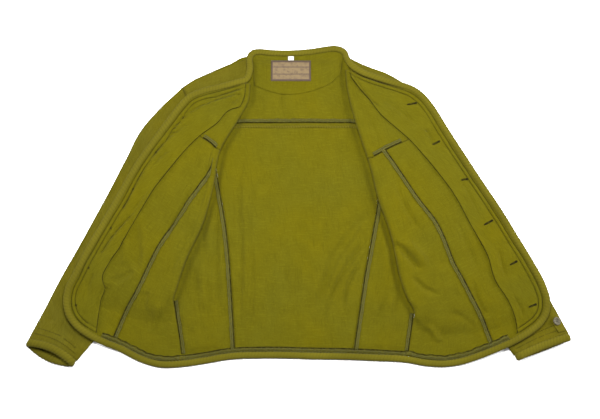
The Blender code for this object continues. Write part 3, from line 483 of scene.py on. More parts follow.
class Relief:
    """The creases and the shallow waves of laid cloth, as a height over each place."""

    def __init__(self, creases, waves=1.0):
        self.waves = waves
        self.creases = []
        for width, depth, lean, rows in creases:
            curve = Curve(rows)
            shares = np.linspace(0, 1, int(curve.length / 3) + 2)
            self.creases.append((width, depth, lean, curve(shares), curve.left_normal(shares), shares))

    def __call__(self, plan):
        x, y = plan[:, 0], plan[:, 1]
        height = np.zeros(len(plan))
        for wavelength, turn, rise, start in RUMPLES:
            angle = math.radians(turn)
            along = x * math.cos(angle) + y * math.sin(angle)
            height += self.waves * rise * np.sin(2 * math.pi * along / wavelength + start)
        for width, depth, lean, path, normal, shares in self.creases:
            reach = 3 * width
            low, high = path.min(axis=0) - reach, path.max(axis=0) + reach
            near = np.nonzero((x > low[0]) & (x < high[0]) & (y > low[1]) & (y < high[1]))[0]
            if not len(near):
                continue
            away = plan[near][:, None, :] - path[None]
            distance = np.linalg.norm(away, axis=2)
            nearest = distance.argmin(axis=1)
            rows = np.arange(len(near))
            gap = distance[rows, nearest] / width
            side = np.sign(np.sum(away[rows, nearest] * normal[nearest], axis=1))
            taper = smoothstep(shares[nearest] / 0.25) * smoothstep((1 - shares[nearest]) / 0.3)
            bell = np.exp(-(gap**2))
            height[near] += CREASE_DEPTH * depth * taper * (lean * side * gap * bell * 1.5 - bell)
        return height


class Front:
    """One flipped front: a roll along the fold (s < 0), then a sheet out to the piping (s from 0 to 1)."""

    def __init__(self, table, relief):
        self.side = table["side"]
        self.relief = relief
        self.fold = Curve(table["fold"] + tuple((x - 0.8 * self.side, y) for x, y in table["low_seam"]))
        self.roll = np.array(table["roll"], float)
        self.piping = Curve(table["piping"])
        self.at = {name: self.piping.row_share(row) for name, row in table["rows"].items()}
        self.patch = Patch(
            self.roll_top,
            lambda b: self.edge(self.at["top"] + b * (self.at["low"] - self.at["top"])),
            lambda a: self.edge(self.at["neck"] + a * (self.at["top"] - self.at["neck"])),
            lambda a: self.edge(1.0 + a * (self.at["low"] - 1.0)),
        )
        a, b = (grid.ravel() for grid in np.meshgrid(np.linspace(0, 1, 61), np.linspace(0, 1, 121)))
        self.samples_ab = np.stack([a, b], axis=1)
        self.samples = self.patch(a, b)
        self.tree = tree_of(self.samples)
        self.rim = tree_of(self.piping(np.linspace(self.at["neck"], 1.0, 900)))

    def stitched(self, plan):
        """The welts between the rows of topstitching, as a height over each place."""
        inset = np.array([self.rim.find((x, y, 0.0))[2] for x, y in plan]) - PIPING_WIDTH / 2
        dips = sum(np.exp(-(((inset - row) / width) ** 2)) for row, width in zip(STITCH_ROWS, GROOVE_WIDTHS))
        welt = WELT_HEIGHT * np.exp(-(((inset - sum(STITCH_ROWS) / 2) / WELT_WIDTH) ** 2))
        return welt - GROOVE_DEPTH * dips

    def edge(self, share):
        """The cloth's edge, tucked in under the piping."""
        middle = self.piping(share)
        inward = -self.side * self.piping.left_normal(share)
        plan = middle[:, :2] + inward * (PIPING_WIDTH / 2 - TUCK)
        return np.column_stack([plan, np.maximum(middle[:, 2] - PIPING_HEIGHT / 2, 0.0)])

    def roll_at(self, b):
        radius, sweep, base = (np.interp(b, self.roll[:, 0], self.roll[:, column]) for column in (1, 2, 3))
        return radius, np.radians(sweep), base

    def roll_top(self, b):
        radius, sweep, base = self.roll_at(b)
        outward = self.side * self.fold.left_normal(b)
        reach = (radius + CLOTH) * np.sin(np.minimum(sweep, math.pi / 2))
        return np.column_stack([self.fold(b) + outward * reach[:, None], base + radius * (1 - np.cos(sweep))])

    def __call__(self, s, b):
        a = np.clip(s, 0.0, 1.0)
        points = self.patch(a, b)
        plan = points[:, :2].copy()
        radius, sweep, base = self.roll_at(b)
        turn = np.clip(-s, 0.0, 1.0) * sweep
        outward = self.side * self.fold.left_normal(b)
        points[:, :2] -= outward * (radius * np.sin(turn))[:, None]
        points[:, 2] -= radius * (1 - np.cos(turn))
        # creases fade over the roll and at the edges that are sewn to the piping
        fade = smoothstep(1 + np.clip(s, -1.0, 0.0)) * smoothstep((1 - a) / 0.05)
        fade *= smoothstep(b / 0.03 + 0.05) * smoothstep((1 - b) / 0.03)
        height = self.relief(plan) * fade
        points[:, 2] += np.maximum(height, -0.25 * points[:, 2])
        points[:, 2] = np.maximum(points[:, 2], 0.0)
        return points

    def raised(self, s, b, lift):
        return moved_out(self, s, b, 0.002, lift)

    def locate(self, plan):
        """The shares (a, b) of places given by x and y."""
        plan = np.asarray(plan, float)[:, :2]
        found = [self.tree.find((x, y, 0.0))[1] for x, y in plan]
        shares = self.samples_ab[found].copy()
        nudge = 1e-4
        for _ in range(8):
            here = self.patch(shares[:, 0], shares[:, 1])[:, :2]
            by_a = (self.patch(shares[:, 0] + nudge, shares[:, 1])[:, :2] - here) / nudge
            by_b = (self.patch(shares[:, 0], shares[:, 1] + nudge)[:, :2] - here) / nudge
            miss = plan - here
            det = by_a[:, 0] * by_b[:, 1] - by_a[:, 1] * by_b[:, 0]
            shares[:, 0] += np.clip((miss[:, 0] * by_b[:, 1] - miss[:, 1] * by_b[:, 0]) / det, -0.1, 0.1)
            shares[:, 1] += np.clip((by_a[:, 0] * miss[:, 1] - by_a[:, 1] * miss[:, 0]) / det, -0.1, 0.1)
            shares = np.clip(shares, 0.0, 1.0)
        return shares

    def line(self, rows, read, give):
        """A seam as a function: share number give for share number read."""
        shares = self.locate(Curve(rows)(np.linspace(0, 1, 90)))
        inside = np.all((shares > 0.001) & (shares < 0.999), axis=1)
        shares = shares[inside]
        order = np.argsort(shares[:, read])
        return lambda value: np.interp(value, shares[order, read], shares[order, give])

    def on_sheet(self, plan, lift):
        """Places given by x and y, set on the sheet and moved out."""
        shares = np.clip(self.locate(plan), 0.004, 0.996)
        return self.raised(shares[:, 0], shares[:, 1], lift)


def tree_of(points):
    tree = kdtree.KDTree(len(points))
    for index, point in enumerate(points):
        tree.insert((point[0], point[1], 0.0), index)
    tree.balance()
    return tree


class Sleeve:
    """One sleeve laid flat: a runs from its outer edge to its inner, b from the armhole to the cuff."""

    def __init__(self, table, front, relief):
        self.side = table["side"]
        self.relief = relief
        self.arch = np.array(table["arch"], float)
        self.under_front = table["under_front"]
        self.ends = np.array(table["cuff_ends"], float)
        self.pull_back = table["pull_back"]
        across = self.ends[1] - self.ends[0]
        self.width = np.linalg.norm(across)
        self.across = across / self.width
        self.along = np.array([self.across[1], -self.across[0]])
        if self.along[1] > 0:
            self.along = -self.along
        body_side = Curve(table["body_side"])
        underarm = body_side.row_share(UNDERARM_ROW)
        self.armhole = lambda a: (
            body_side(a * underarm) + self.side * body_side.left_normal(a * underarm) * ARMHOLE_GAP
        )
        self.patches = {}
        for layer, bow in zip(("upper", "under"), self.pull_back):
            inset = CUFF_ROLL_WIDTH / 2 - TUCK
            ends = self.cuff_line((0.0, 1.0), bow, inset)
            self.patches[layer] = Patch(
                Curve((*table["outer"], ends[0])),
                Curve((*table["inner"], ends[1])),
                self.armhole,
                lambda a, bow=bow, inset=inset: self.cuff_line(a, bow, inset),
            )
        above = [front.samples]
        shares = np.linspace(0, 1, 400)
        middle = front.piping(shares)
        normal = front.piping.left_normal(shares)
        # the ceiling over the sleeve beside the front: the piping's underside, then air that opens outwards
        for offset in (-6, -3, 0, 3, 6, 10, 14, 18, 22, 26, 30):
            low = middle - (0, 0, PIPING_HEIGHT / 2)
            low[:, :2] += self.side * normal * offset
            low[:, 2] += 0.3 * max(offset - 12, 0)
            above.append(low)
        self.above = np.concatenate(above)
        self.tree = tree_of(self.above)

    def cuff_line(self, a, bow, inset=0.0):
        """A line across the cuff, bowed back in the middle and set in from its rim."""
        a = np.asarray(a, float)
        back = bow * np.sin(math.pi * a) + inset
        return self.ends[0] + np.outer(a, self.across * self.width) - np.outer(back, self.along)

    def cuff_rise(self, b):
        """How high the cloth lies over the floor on its way into the cuff's rolled rim."""
        return CUFF_LIFT * smoothstep((b - 0.87) / 0.07)

    def under(self, a, b):
        plan = self.patches["under"](a, b)
        rise = self.cuff_rise(b)
        # the edges turn up to meet the upper half
        turned = 1.2 * np.abs(2 * a - 1) ** 24
        return np.column_stack([plan, rise + turned])

    def upper(self, a, b):
        plan = self.patches["upper"](a, b)
        height = np.interp(b, self.arch[:, 0], self.arch[:, 1]) * (1 - (2 * a - 1) ** 4)
        lowest = CLOTH + self.cuff_rise(b)
        fade = smoothstep((1 - np.abs(2 * a - 1)) / 0.12) * smoothstep(b / 0.03) * smoothstep((1 - b) / 0.03)
        z = lowest + LAYER_GAP + height + self.relief(plan) * fade
        for index, (x, y) in enumerate(plan):
            _, nearest, distance = self.tree.find((x, y, 0.0))
            if distance < 8.0:
                z[index] = min(z[index], self.above[nearest][2] - self.under_front)
        return np.column_stack([plan, np.maximum(z, lowest)])

    def upper_raised(self, a, b, lift):
        return moved_out(self.upper, a, b, 0.004, lift)

    def ring(self, count):
        """The middle of the cuff's rolled rim, once round its flat mouth."""
        radius = CUFF_RISE / 2
        straight = self.width - 2 * radius - PIPING_HEIGHT
        total = 2 * straight + 2 * math.pi * radius
        points = []
        for k in range(count):
            reach = total * k / count
            if reach < straight:
                x, z, upper = reach - straight / 2, radius, 1.0
            elif reach < straight + math.pi * radius:
                turn = (reach - straight) / radius
                x, z = straight / 2 + radius * math.sin(turn), radius * math.cos(turn)
                upper = (1 + math.cos(turn)) / 2
            elif reach < 2 * straight + math.pi * radius:
                x, z, upper = straight / 2 - (reach - straight - math.pi * radius), -radius, 0.0
            else:
                turn = (reach - 2 * straight - math.pi * radius) / radius
                x, z = -straight / 2 - radius * math.sin(turn), -radius * math.cos(turn)
                upper = (1 - math.cos(turn)) / 2
            a = 0.5 + x / self.width
            back = upper * self.pull_back[0] + (1 - upper) * self.pull_back[1]
            plan = self.cuff_line(np.array([a]), back)[0]
            points.append((*plan, PIPING_HEIGHT / 2 + radius + z))
        return np.array(points)


class Link:
    """A socket of a material's nodes that works in Python expressions."""

    def __init__(self, tree, socket):
        self.tree, self.socket = tree, socket

    def joined(self, operation, *values):
        node = self.tree.nodes.new("ShaderNodeMath")
        node.operation = operation
        for place, value in zip(node.inputs, values):
            if isinstance(value, Link):
                self.tree.links.new(value.socket, place)
            else:
                place.default_value = value
        return Link(self.tree, node.outputs[0])

    def __add__(self, other):
        return self.joined("ADD", self, other)

    __radd__ = __add__

    def __sub__(self, other):
        return self.joined("SUBTRACT", self, other)

    def __rsub__(self, other):
        return self.joined("SUBTRACT", other, self)

    def __mul__(self, other):
        return self.joined("MULTIPLY", self, other)

    __rmul__ = __mul__

    def held(self, low, high):
        """The share between low and high, from 0 to 1."""
        share = (self - low) * (1.0 / (high - low))
        share = self.joined("MINIMUM", share, 1.0)
        return self.joined("MAXIMUM", share, 0.0)


class Finish:
    """A new material and the ways to add its nodes."""

    def __init__(self, name, roughness, **constants):
        self.material = bpy.data.materials.new(name)
        self.material.use_nodes = True
        self.tree = self.material.node_tree
        self.shader = self.tree.nodes["Principled BSDF"]
        self.shader.inputs["Roughness"].default_value = roughness
        for socket, value in constants.items():
            self.shader.inputs[socket.replace("_", " ")].default_value = value

    def node(self, kind, settings=None, output=0, **sockets):
        node = self.tree.nodes.new(kind)
        for name, value in (settings or {}).items():
            setattr(node, name, value)
        for name, value in sockets.items():
            place = node.inputs[int(name[1:])] if name[1:].isdigit() else node.inputs[name.replace("_", " ")]
            if isinstance(value, Link):
                self.tree.links.new(value.socket, place)
            else:
                place.default_value = value
        return Link(self.tree, node.outputs[output])

    def place(self, by_cloth=False):
        """Object coordinates, or with by_cloth the cloth's own UV map in metres."""
        if by_cloth:
            return self.node("ShaderNodeUVMap", {"uv_map": "cloth"})
        return self.node("ShaderNodeTexCoord", output=3)

    def noise(self, vector, scale, detail=2.0, rough=0.5):
        return self.node("ShaderNodeTexNoise", Vector=vector, Scale=scale, Detail=detail, Roughness=rough)

    def stretched(self, vector, x, y):
        return self.node("ShaderNodeMapping", Vector=vector, Scale=(x, y, 1.0))

    def stripes(self, vector, direction, scale):
        return self.node(
            "ShaderNodeTexWave", {"wave_type": "BANDS", "bands_direction": direction}, output=1,
            Vector=vector, Scale=scale,
        )

    def mixed(self, share, first, second):
        return self.node(
            "ShaderNodeMix", {"data_type": "RGBA"}, output=2, _0=share, _6=first, _7=second
        )

    def finish(self, colour, height=None, strength=0.4, distance=0.0006):
        self.tree.links.new(colour.socket, self.shader.inputs["Base Color"])
        if height is not None:
            bump = self.node("ShaderNodeBump", Strength=strength, Distance=distance, Height=height)
            self.tree.links.new(bump.socket, self.shader.inputs["Normal"])
        return self.material


def shade(colour, factor):
    return tuple(min(channel * factor, 1.0) for channel in colour[:3]) + (1.0,)


def sizes():
    return bpy.context.scene.jacket_sizes


def colours():
    return bpy.context.scene.jacket_colours


def wool(name, colour):
    """Matt fulled wool: a plain weave under a short nap, heathered yarn, slubs and soft patches of shade."""
    look = Finish(name, 1.0, Sheen_Weight=0.012, Sheen_Roughness=0.5, Specular_IOR_Level=0.02)
    at = look.place()
    weave = look.place(by_cloth=True)
    patches = look.noise(at, 7.0, 3.0)
    blotches = look.noise(at, 38.0, 4.0, 0.6)
    heather = look.noise(weave, 520.0, 3.0, 0.7)
    grain = look.noise(weave, 210.0, 3.0, 0.65)
    weft_slubs = look.noise(look.stretched(weave, 42.0, 430.0), 1.0, 3.0, 0.6)
    warp_slubs = look.noise(look.stretched(weave, 430.0, 30.0), 1.0, 3.0, 0.6)
    yellower = (colour[0] * 1.05, colour[1] * 1.02, colour[2] * 0.7)
    greener = (colour[0] * 0.95, colour[1] * 0.99, colour[2] * 1.8)
    base = look.mixed(patches.held(0.35, 0.65), shade(greener, 0.98), shade(yellower, 1.02))
    base = look.mixed(blotches.held(0.42, 0.62) * 0.45, base, shade(colour, 0.84))
    base = look.mixed(grain.held(0.5, 0.68) * 0.45, base, shade(greener, 1.3))
    base = look.mixed(weft_slubs.held(0.53, 0.68) * 0.5, base, shade(greener, 1.42))
    base = look.mixed(warp_slubs.held(0.54, 0.7) * 0.52, base, shade(colour, 0.66))
    base = look.mixed(heather.held(0.52, 0.7) * 0.5, base, shade(colour, 0.55))
    threads = look.stripes(weave, "X", 780.0) + look.stripes(weave, "Y", 700.0)
    height = threads * 0.3 + heather * 0.6 + weft_slubs * 0.7 + warp_slubs * 0.5 + grain * 0.8
    return look.finish(base, height, 0.5, 0.0007)


def corded(name, colour):
    """The rolled piping: ribs wound round a cord, with painted shade in the grooves that leaves the ribs
    paler, and random paler fibres.
    """
    look = Finish(name, 1.0, Sheen_Weight=0.012, Sheen_Roughness=0.5, Specular_IOR_Level=0.02)
    at = look.place()
    rib = look.node("ShaderNodeAttribute", {"attribute_name": "rib"}, output=2)
    patches = look.noise(at, 12.0, 3.0)
    fibres = look.noise(look.place(by_cloth=True), 900.0, 3.0, 0.7)
    base = look.mixed(patches.held(0.35, 0.65), shade(colour, 0.9), shade(colour, 1.08))
    # painted shade: the grooves between the ribs are darkened
    base = look.mixed((1.0 - rib.held(0.0, 0.5)) * 0.6, base, shade(colour, 0.5))
    base = look.mixed(fibres.held(0.5, 0.8) * 0.4, base, shade(colour, 1.2))
    return look.finish(base, fibres * 0.7 + rib * 0.3, 0.5, 0.0005)


def overlocked(name, colour, wool_colour):
    """A seam allowance under overlock threads: speckled, with painted shadow as a dark dotted line along its
    first edge and a fainter painted shadow along its far edge.
    """
    look = Finish(name, 0.95, Specular_IOR_Level=0.04)
    weave = look.place(by_cloth=True)
    across = look.node("ShaderNodeSeparateXYZ", output=0, Vector=weave)
    specks = look.noise(weave, 430.0, 3.0, 0.7)
    gaps = look.noise(weave, 170.0, 3.0, 0.7)
    dots = look.noise(weave, 300.0, 2.0, 0.6)
    base = look.mixed(gaps.held(0.42, 0.62) * 0.8, colour, shade(wool_colour, 0.95))
    base = look.mixed(specks.held(0.53, 0.68) * 0.6, base, shade(colour, 1.7))
    base = look.mixed((1.0 - specks.held(0.34, 0.47)) * 0.5, base, shade(wool_colour, 0.45))
    # painted shadow: an uneven dark strip along the band's first edge, by the seam, broken into dots
    seam_shadow = 1.0 - (across + gaps * 0.0030).held(0.0034, 0.0044)
    # painted shadow along the band's far edge
    rim = (across + gaps * 0.0016).held(0.0082, 0.0092)
    base = look.mixed(seam_shadow * (0.55 + dots.held(0.40, 0.52) * 0.45), base, shade(wool_colour, 0.12))
    base = look.mixed(rim * 0.55, base, shade(wool_colour, 0.4))
    base = look.mixed(seam_shadow * specks.held(0.60, 0.66) * 0.7, base, shade(colour, 1.9))
    return look.finish(base, specks * 0.9 + gaps * 0.8, 0.8, 0.0010)


def thread_look(name, colour):
    """Twisted sewing thread, also used for thin dark lines of painted shade."""
    look = Finish(name, 0.85, Specular_IOR_Level=0.05)
    twist = look.noise(look.place(), 900.0, 2.0)
    return look.finish(look.mixed(twist.held(0.35, 0.65), shade(colour, 0.75), shade(colour, 1.2)))


def horn_look(name, colour):
    """Polished horn with darker streaks and a paler rubbed face."""
    look = Finish(name, 0.5, Specular_IOR_Level=0.14)
    at = look.place()
    streaks = look.noise(look.stretched(at, 180.0, 700.0), 1.0, 4.0)
    clouds = look.noise(at, 160.0, 3.0)
    base = look.mixed(streaks.held(0.35, 0.65), shade(colour, 0.45), shade(colour, 1.5))
    base = look.mixed(clouds.held(0.45, 0.7) * 0.5, base, shade(colour, 1.7))
    return look.finish(base, streaks, 0.15, 0.0002)


def woven_label(name, ground, border):
    """A bare satin label, woven with a plain border and faint bands."""
    look = Finish(name, 0.7, Sheen_Weight=0.04, Specular_IOR_Level=0.12)
    weave = look.place(by_cloth=True)
    across = look.node("ShaderNodeSeparateXYZ", output=0, Vector=weave)
    up = look.node("ShaderNodeSeparateXYZ", output=1, Vector=weave)
    side = (across - LABEL_SIZE[0] * MM / 2).joined("ABSOLUTE", across - LABEL_SIZE[0] * MM / 2)
    rise = (up - LABEL_SIZE[1] * MM / 2).joined("ABSOLUTE", up - LABEL_SIZE[1] * MM / 2)
    edge_x = side.held((LABEL_SIZE[0] / 2 - 4.2) * MM, (LABEL_SIZE[0] / 2 - 3.6) * MM)
    edge_y = rise.held((LABEL_SIZE[1] / 2 - 4.6) * MM, (LABEL_SIZE[1] / 2 - 4.0) * MM)
    frame_mask = edge_x.joined("MAXIMUM", edge_x, edge_y)
    band = (1.0 - rise.held(9.0 * MM, 9.6 * MM)) * rise.held(6.0 * MM, 6.6 * MM)
    fine = look.noise(weave, 1400.0, 2.0)
    clouds = look.noise(weave, 130.0, 4.0, 0.7)
    base = look.mixed(fine.held(0.35, 0.7), shade(ground, 0.8), shade(ground, 1.12))
    base = look.mixed(clouds.held(0.48, 0.62) * 0.5, base, border)
    base = look.mixed(band * 0.55, base, border)
    base = look.mixed(frame_mask * 0.9, base, border)
    return look.finish(base, fine + look.stripes(weave, "Y", 900.0) * 0.5, 0.4, 0.0003)


def plain_satin(name, colour):
    look = Finish(name, 0.55, Sheen_Weight=0.2)
    fine = look.noise(look.place(by_cloth=True), 1500.0, 2.0)
    return look.finish(look.mixed(fine.held(0.3, 0.7), shade(colour, 0.9), colour), fine, 0.3, 0.0002)


def finish_of(name):
    """The material of this name, made once."""
    found = bpy.data.materials.get(name)
    if found:
        return found
    choice = colours()
    makers = {
        "wool inside": lambda: wool(name, choice.inside),
        "wool outside": lambda: wool(name, choice.outside),
        "corded piping": lambda: corded(name, choice.piping),
        "overlocked edge": lambda: overlocked(name, (*choice.overlock, 1.0), choice.inside),
        "topstitch thread and painted shade": lambda: thread_look(name, choice.thread),
        "overlock thread": lambda: thread_look(name, choice.overlock_thread),
        "buttonhole thread and painted shade": lambda: thread_look(name, choice.buttonhole),
        "horn": lambda: horn_look(name, choice.button),
        "label satin": lambda: woven_label(name, (*choice.label, 1.0), (*choice.label_border, 1.0)),
        "tab satin": lambda: plain_satin(name, (*choice.tab, 1.0)),
    }
    return makers[name]()


def add_piece(name, mesh_data, finish, nodes):
    """A finished piece on the jacket's one body, standing for these nodes of the solids."""
    mesh = bpy.data.meshes.new(name)
    mesh_data.to_mesh(mesh)
    mesh_data.free()
    mesh.shade_smooth()
    piece = bpy.data.objects.new(name, mesh)
    mesh.materials.append(finish_of(finish))
    bpy.context.scene.collection.objects.link(piece)
    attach(piece, BODY)
    if nodes:
        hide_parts(*nodes)
    return piece


def gathered(share, near):
    """Shares moved towards both ends of a side, by near."""
    return share - near * np.sin(2 * math.pi * share) / (2 * math.pi)


def cloth_piece(
    name, surface, finish, nodes, step=None, thick=CLOTH, near=(0.0, 0.0), held="laid"
):
    """A sheet of cloth: a grid on surface(u, v), its underside, with its own UV map, thickened upwards."""
    step = step or sizes().grid * 1000
    probe = np.linspace(0, 1, 25)
    middle = np.full(25, 0.5)
    across = surface(probe, middle)
    along = surface(middle, probe)
    width = np.linalg.norm(np.diff(across, axis=0), axis=1).sum()
    length = np.linalg.norm(np.diff(along, axis=0), axis=1).sum()
    columns = max(2, round(width / step))
    rows = max(2, round(length / step))
    cloth = bmesh.new()
    bmesh.ops.create_grid(cloth, x_segments=columns, y_segments=rows, size=1.0)
    shares = (np.array([(vert.co.x, vert.co.y) for vert in cloth.verts]) + 1) / 2
    points = surface(gathered(shares[:, 0], near[0]), gathered(shares[:, 1], near[1]))
    for vert, point in zip(cloth.verts, points):
        vert.co = (point - MIDDLE) * MM
    grid = points.reshape(rows + 1, columns + 1, 3)
    step_u = np.linalg.norm(np.diff(grid, axis=1), axis=2)
    step_v = np.linalg.norm(np.diff(grid, axis=0), axis=2)
    by_width = np.concatenate([np.zeros((rows + 1, 1)), np.cumsum(step_u, axis=1)], axis=1).ravel() * MM
    by_length = np.concatenate([np.zeros((1, columns + 1)), np.cumsum(step_v, axis=0)], axis=0).ravel() * MM
    uv_layer = cloth.loops.layers.uv.new("cloth")
    for face in cloth.faces:
        for loop in face.loops:
            index = loop.vert.index
            loop[uv_layer].uv = (by_width[index], by_length[index])
    area = sum(face.calc_area() for face in cloth.faces)
    cloth.normal_update()
    if sum(face.normal.z * face.calc_area() for face in cloth.faces) < 0:
        bmesh.ops.reverse_faces(cloth, faces=cloth.faces)
    piece = add_piece(name, cloth, finish, nodes)
    wall = piece.modifiers.new("wall", "SOLIDIFY")
    wall.thickness = thick * MM
    wall.offset = 1.0
    return piece


def way_ahead(path, closed):
    if closed:
        return np.roll(path, -1, axis=0) - np.roll(path, 1, axis=0)
    return np.gradient(path, axis=0)


def flat_normals(path, closed=False):
    """The level direction square to a path at each of its points."""
    ahead = way_ahead(path, closed)
    level = np.column_stack([-ahead[:, 1], ahead[:, 0], np.zeros(len(path))])
    return level / np.linalg.norm(level, axis=1)[:, None]


def tube_mesh(path, half_width, half_height, sides, closed=False, wide=None, ribs=None, flat_to=None):
    """A round section along a path, its width level or along wide, with ribs(reach, angle) on its radius."""
    if wide is None:
        wide = flat_normals(path, closed)
    ahead = way_ahead(path, closed)
    ahead /= np.linalg.norm(ahead, axis=1)[:, None]
    wide = wide - ahead * np.sum(wide * ahead, axis=1)[:, None]
    wide /= np.linalg.norm(wide, axis=1)[:, None]
    tall = np.cross(ahead, wide)
    reach = reach_along(path)
    count = len(path)
    rings = count if closed else count - 1
    half_width = np.broadcast_to(half_width, count)
    half_height = np.broadcast_to(half_height, count)
    tube = bmesh.new()
    bmesh.ops.create_grid(tube, x_segments=sides, y_segments=rings, size=1.0)
    rib_layer = tube.verts.layers.float.new("rib")
    uv_layer = tube.loops.layers.uv.new("cloth")
    around = math.pi * (half_width.mean() + half_height.mean())
    section, spoke = np.divmod(np.arange(len(tube.verts)), sides + 1)
    angle = 2 * math.pi * (spoke % sides) / sides
    by_length = np.append(reach, reach[-1] + np.linalg.norm(path[0] - path[-1]))[section]
    ring = section % count
    rib = np.zeros(len(section)) if ribs is None else ribs(by_length, angle)
    swell = 1.0 + (rib - 0.6) * (0.0 if ribs is None else 0.12)
    places = (
        path[ring]
        + wide[ring] * (half_width[ring] * swell * np.cos(angle))[:, None]
        + tall[ring] * (half_height[ring] * swell * np.sin(angle))[:, None]
    )
    if flat_to is not None:
        places[:, 2] = np.maximum(places[:, 2], flat_to)
    for vert, place, value in zip(tube.verts, places, rib):
        vert.co = (place - MIDDLE) * MM
        vert[rib_layer] = value
    for face in tube.faces:
        for loop in face.loops:
            index = loop.vert.index
            loop[uv_layer].uv = (spoke[index] / sides * around * MM, by_length[index] * MM)
    bmesh.ops.remove_doubles(tube, verts=tube.verts, dist=1e-6)
    if not closed:
        rims = [edge for edge in tube.edges if edge.is_boundary]
        bmesh.ops.holes_fill(tube, edges=rims, sides=sides)
    bmesh.ops.recalc_face_normals(tube, faces=tube.faces)
    return tube


def evenly(path, step):
    """Points this far apart along a path of points."""
    length = reach_along(path)[-1]
    count = max(3, int(length / step) + 1)
    return places_along(path, np.linspace(0, length, count))


def stitch_path(path, length, pitch, proud, sunk):
    """A running stitch: the thread lies on the cloth for length, then dips through it to the next stitch."""
    path = evenly(path, 1.0)
    count = int(reach_along(path)[-1] / pitch)
    shares = np.array([0.0, 0.1, 0.5, 0.9, 1.0])
    heights = np.array([-sunk, proud * 0.55, proud, proud * 0.55, -sunk])
    starts = (np.arange(count) * pitch)[:, None] + shares[None] * length
    points = places_along(path, starts.ravel())
    points[:, 2] += np.tile(heights, count)
    return points


def merged(parts):
    """Several bmeshes as one."""
    whole = parts[0]
    for part in parts[1:]:
        step = bpy.data.meshes.new("step")
        part.to_mesh(step)
        part.free()
        whole.from_mesh(step)
        bpy.data.meshes.remove(step)
    return whole


def thread_piece(name, paths, radius, finish, sides=4):
    """Sewing threads, and thin dark tubes of painted shade, along some paths, as one piece."""
    parts = [tube_mesh(path, radius, radius, sides) for path in paths]
    add_piece(name, merged(parts), finish, ())


def tape_piece(name, path, half_width, half_height, finish, sides=10):
    """A flat tape inside the cloth, which closes the gap that the solids keep at a seam."""
    add_piece(name, tube_mesh(path, half_width, half_height, sides), finish, ())


def nudged(rows, x=0.0, y=0.0):
    return tuple((row[0] + x, row[1] + y) for row in rows)


def straight(first, last):
    return Curve((first, last))


def hem_edge(first_x, last_x):
    """The back's edge, tucked in under the hem piping, between two places."""
    hem = Curve(HEM)
    shares = np.linspace(0, 1, 200)
    edge = hem(shares) + hem.left_normal(shares) * (PIPING_WIDTH / 2 - TUCK)

    def between(a):
        x = first_x + a * (last_x - first_x)
        return np.column_stack([x, np.interp(x, edge[:, 0], edge[:, 1])])

    return between


def panel_side(rows, low_rows):
    """The armhole and side seam of a back side panel, from the yoke seam down to the hem."""
    side = Curve(rows + low_rows)
    seam = side.row_share(YOKE_ROW)
    return lambda b: side(seam + b * (1 - seam))


def yoke_side(rows):
    """The armhole beside the back yoke, from the yoke seam up to the shoulder."""
    side = Curve(rows)
    seam = side.row_share(YOKE_ROW)
    return lambda b: side(seam * (1 - b))


def back_height(relief):
    """The back's height over each place: creased between the folds of the fronts, flat under them."""
    folds = {}
    for name, table in FRONT_TABLES.items():
        rows = np.array(table["fold"] + table["low_seam"], float)
        order = np.argsort(rows[:, 1])
        folds[name] = rows[order]

    def height(plan):
        x, y = plan[:, 0], plan[:, 1]
        left, right = (np.interp(y, folds[name][:, 1], folds[name][:, 0]) for name in ("left", "right"))
        shown = smoothstep((x - left - 2) / 14) * smoothstep((right - 2 - x) / 14)
        shown *= smoothstep((y - BACK_HEM_Y) / 22) * smoothstep((BACK_NECK_Y - y) / 20)
        # small puckers where the hem is sewn
        pucker = np.sin(x / 2.9) * 0.5 + np.sin(x / 4.7 + 1.3) * 0.5
        near_hem = np.exp(-(((y - BACK_HEM_Y) / 24) ** 2))
        raised = 4.2 + relief(plan) + pucker * near_hem * 0.8
        return np.maximum(raised * shown * sizes().crease, 0.0)

    return height


def dipped(surface, width, sides=(True, True)):
    """A surface that sinks beside its near and far edges, where it is seamed."""

    def seamed(u, v):
        points = surface(u, v)
        for share, used in zip((u, 1 - u), sides):
            if used:
                points[:, 2] -= SEAM_DIP * np.exp(-((share * width / SEAM_DIP_WIDTH) ** 2))
        points[:, 2] = np.maximum(points[:, 2], 0.0)
        return points

    return seamed


def on_back(patch, height, lift=0.0):
    def surface(a, b):
        plan = patch(a, b)[:, :2]
        return np.column_stack([plan, height(plan) + lift])

    return surface


def strip(rows, first, last, along, settled):
    """A band beside a line and its length, from one offset to another, its free edge slightly uneven."""
    curve = Curve(rows)

    def surface(u, v):
        share = along[0] + v * (along[1] - along[0])
        reach = share * curve.length
        uneven = 0.35 * np.sin(reach / 6.1) + 0.35 * np.sin(reach / 2.7 + 1.0)
        offset = first + u * (last + np.sign(last) * uneven - first)
        plan = curve(share)[:, :2] + curve.left_normal(share) * offset[:, None]
        return settled(plan, 0.3 * u)

    return surface, curve.length * (along[1] - along[0])


def overlock_paths(surface, length, thick):
    """The zigzag of overlock threads over a band laid on surface(u, v)."""
    count = max(4, int(length / OVERLOCK_TURN) * 2)
    v = np.linspace(0.004, 0.996, count)
    u = np.where(np.arange(count) % 2 == 0, 0.34, 0.92)
    zigzag = surface(u, v)
    zigzag[:, 2] += thick + 0.15
    edge_v = np.linspace(0, 1, max(4, int(length / 3)))
    edge = surface(0.86 + 0.05 * np.sin(np.arange(len(edge_v)) * 2.3), edge_v)
    edge[:, 2] += thick + 0.1
    chain = surface(0.38 + 0.05 * np.sin(np.arange(len(edge_v)) * 1.7), edge_v)
    chain[:, 2] += thick + 0.1
    return [zigzag, edge, chain]


def allowance_piece(node, surface, length, on):
    """An overlocked seam allowance. It gives the paths of its threads."""
    cloth_piece(
        f"{node}_band", surface, "overlocked edge", [node], step=2.2,
        thick=ALLOWANCE_THICK,
    )
    return overlock_paths(surface, length, ALLOWANCE_THICK)


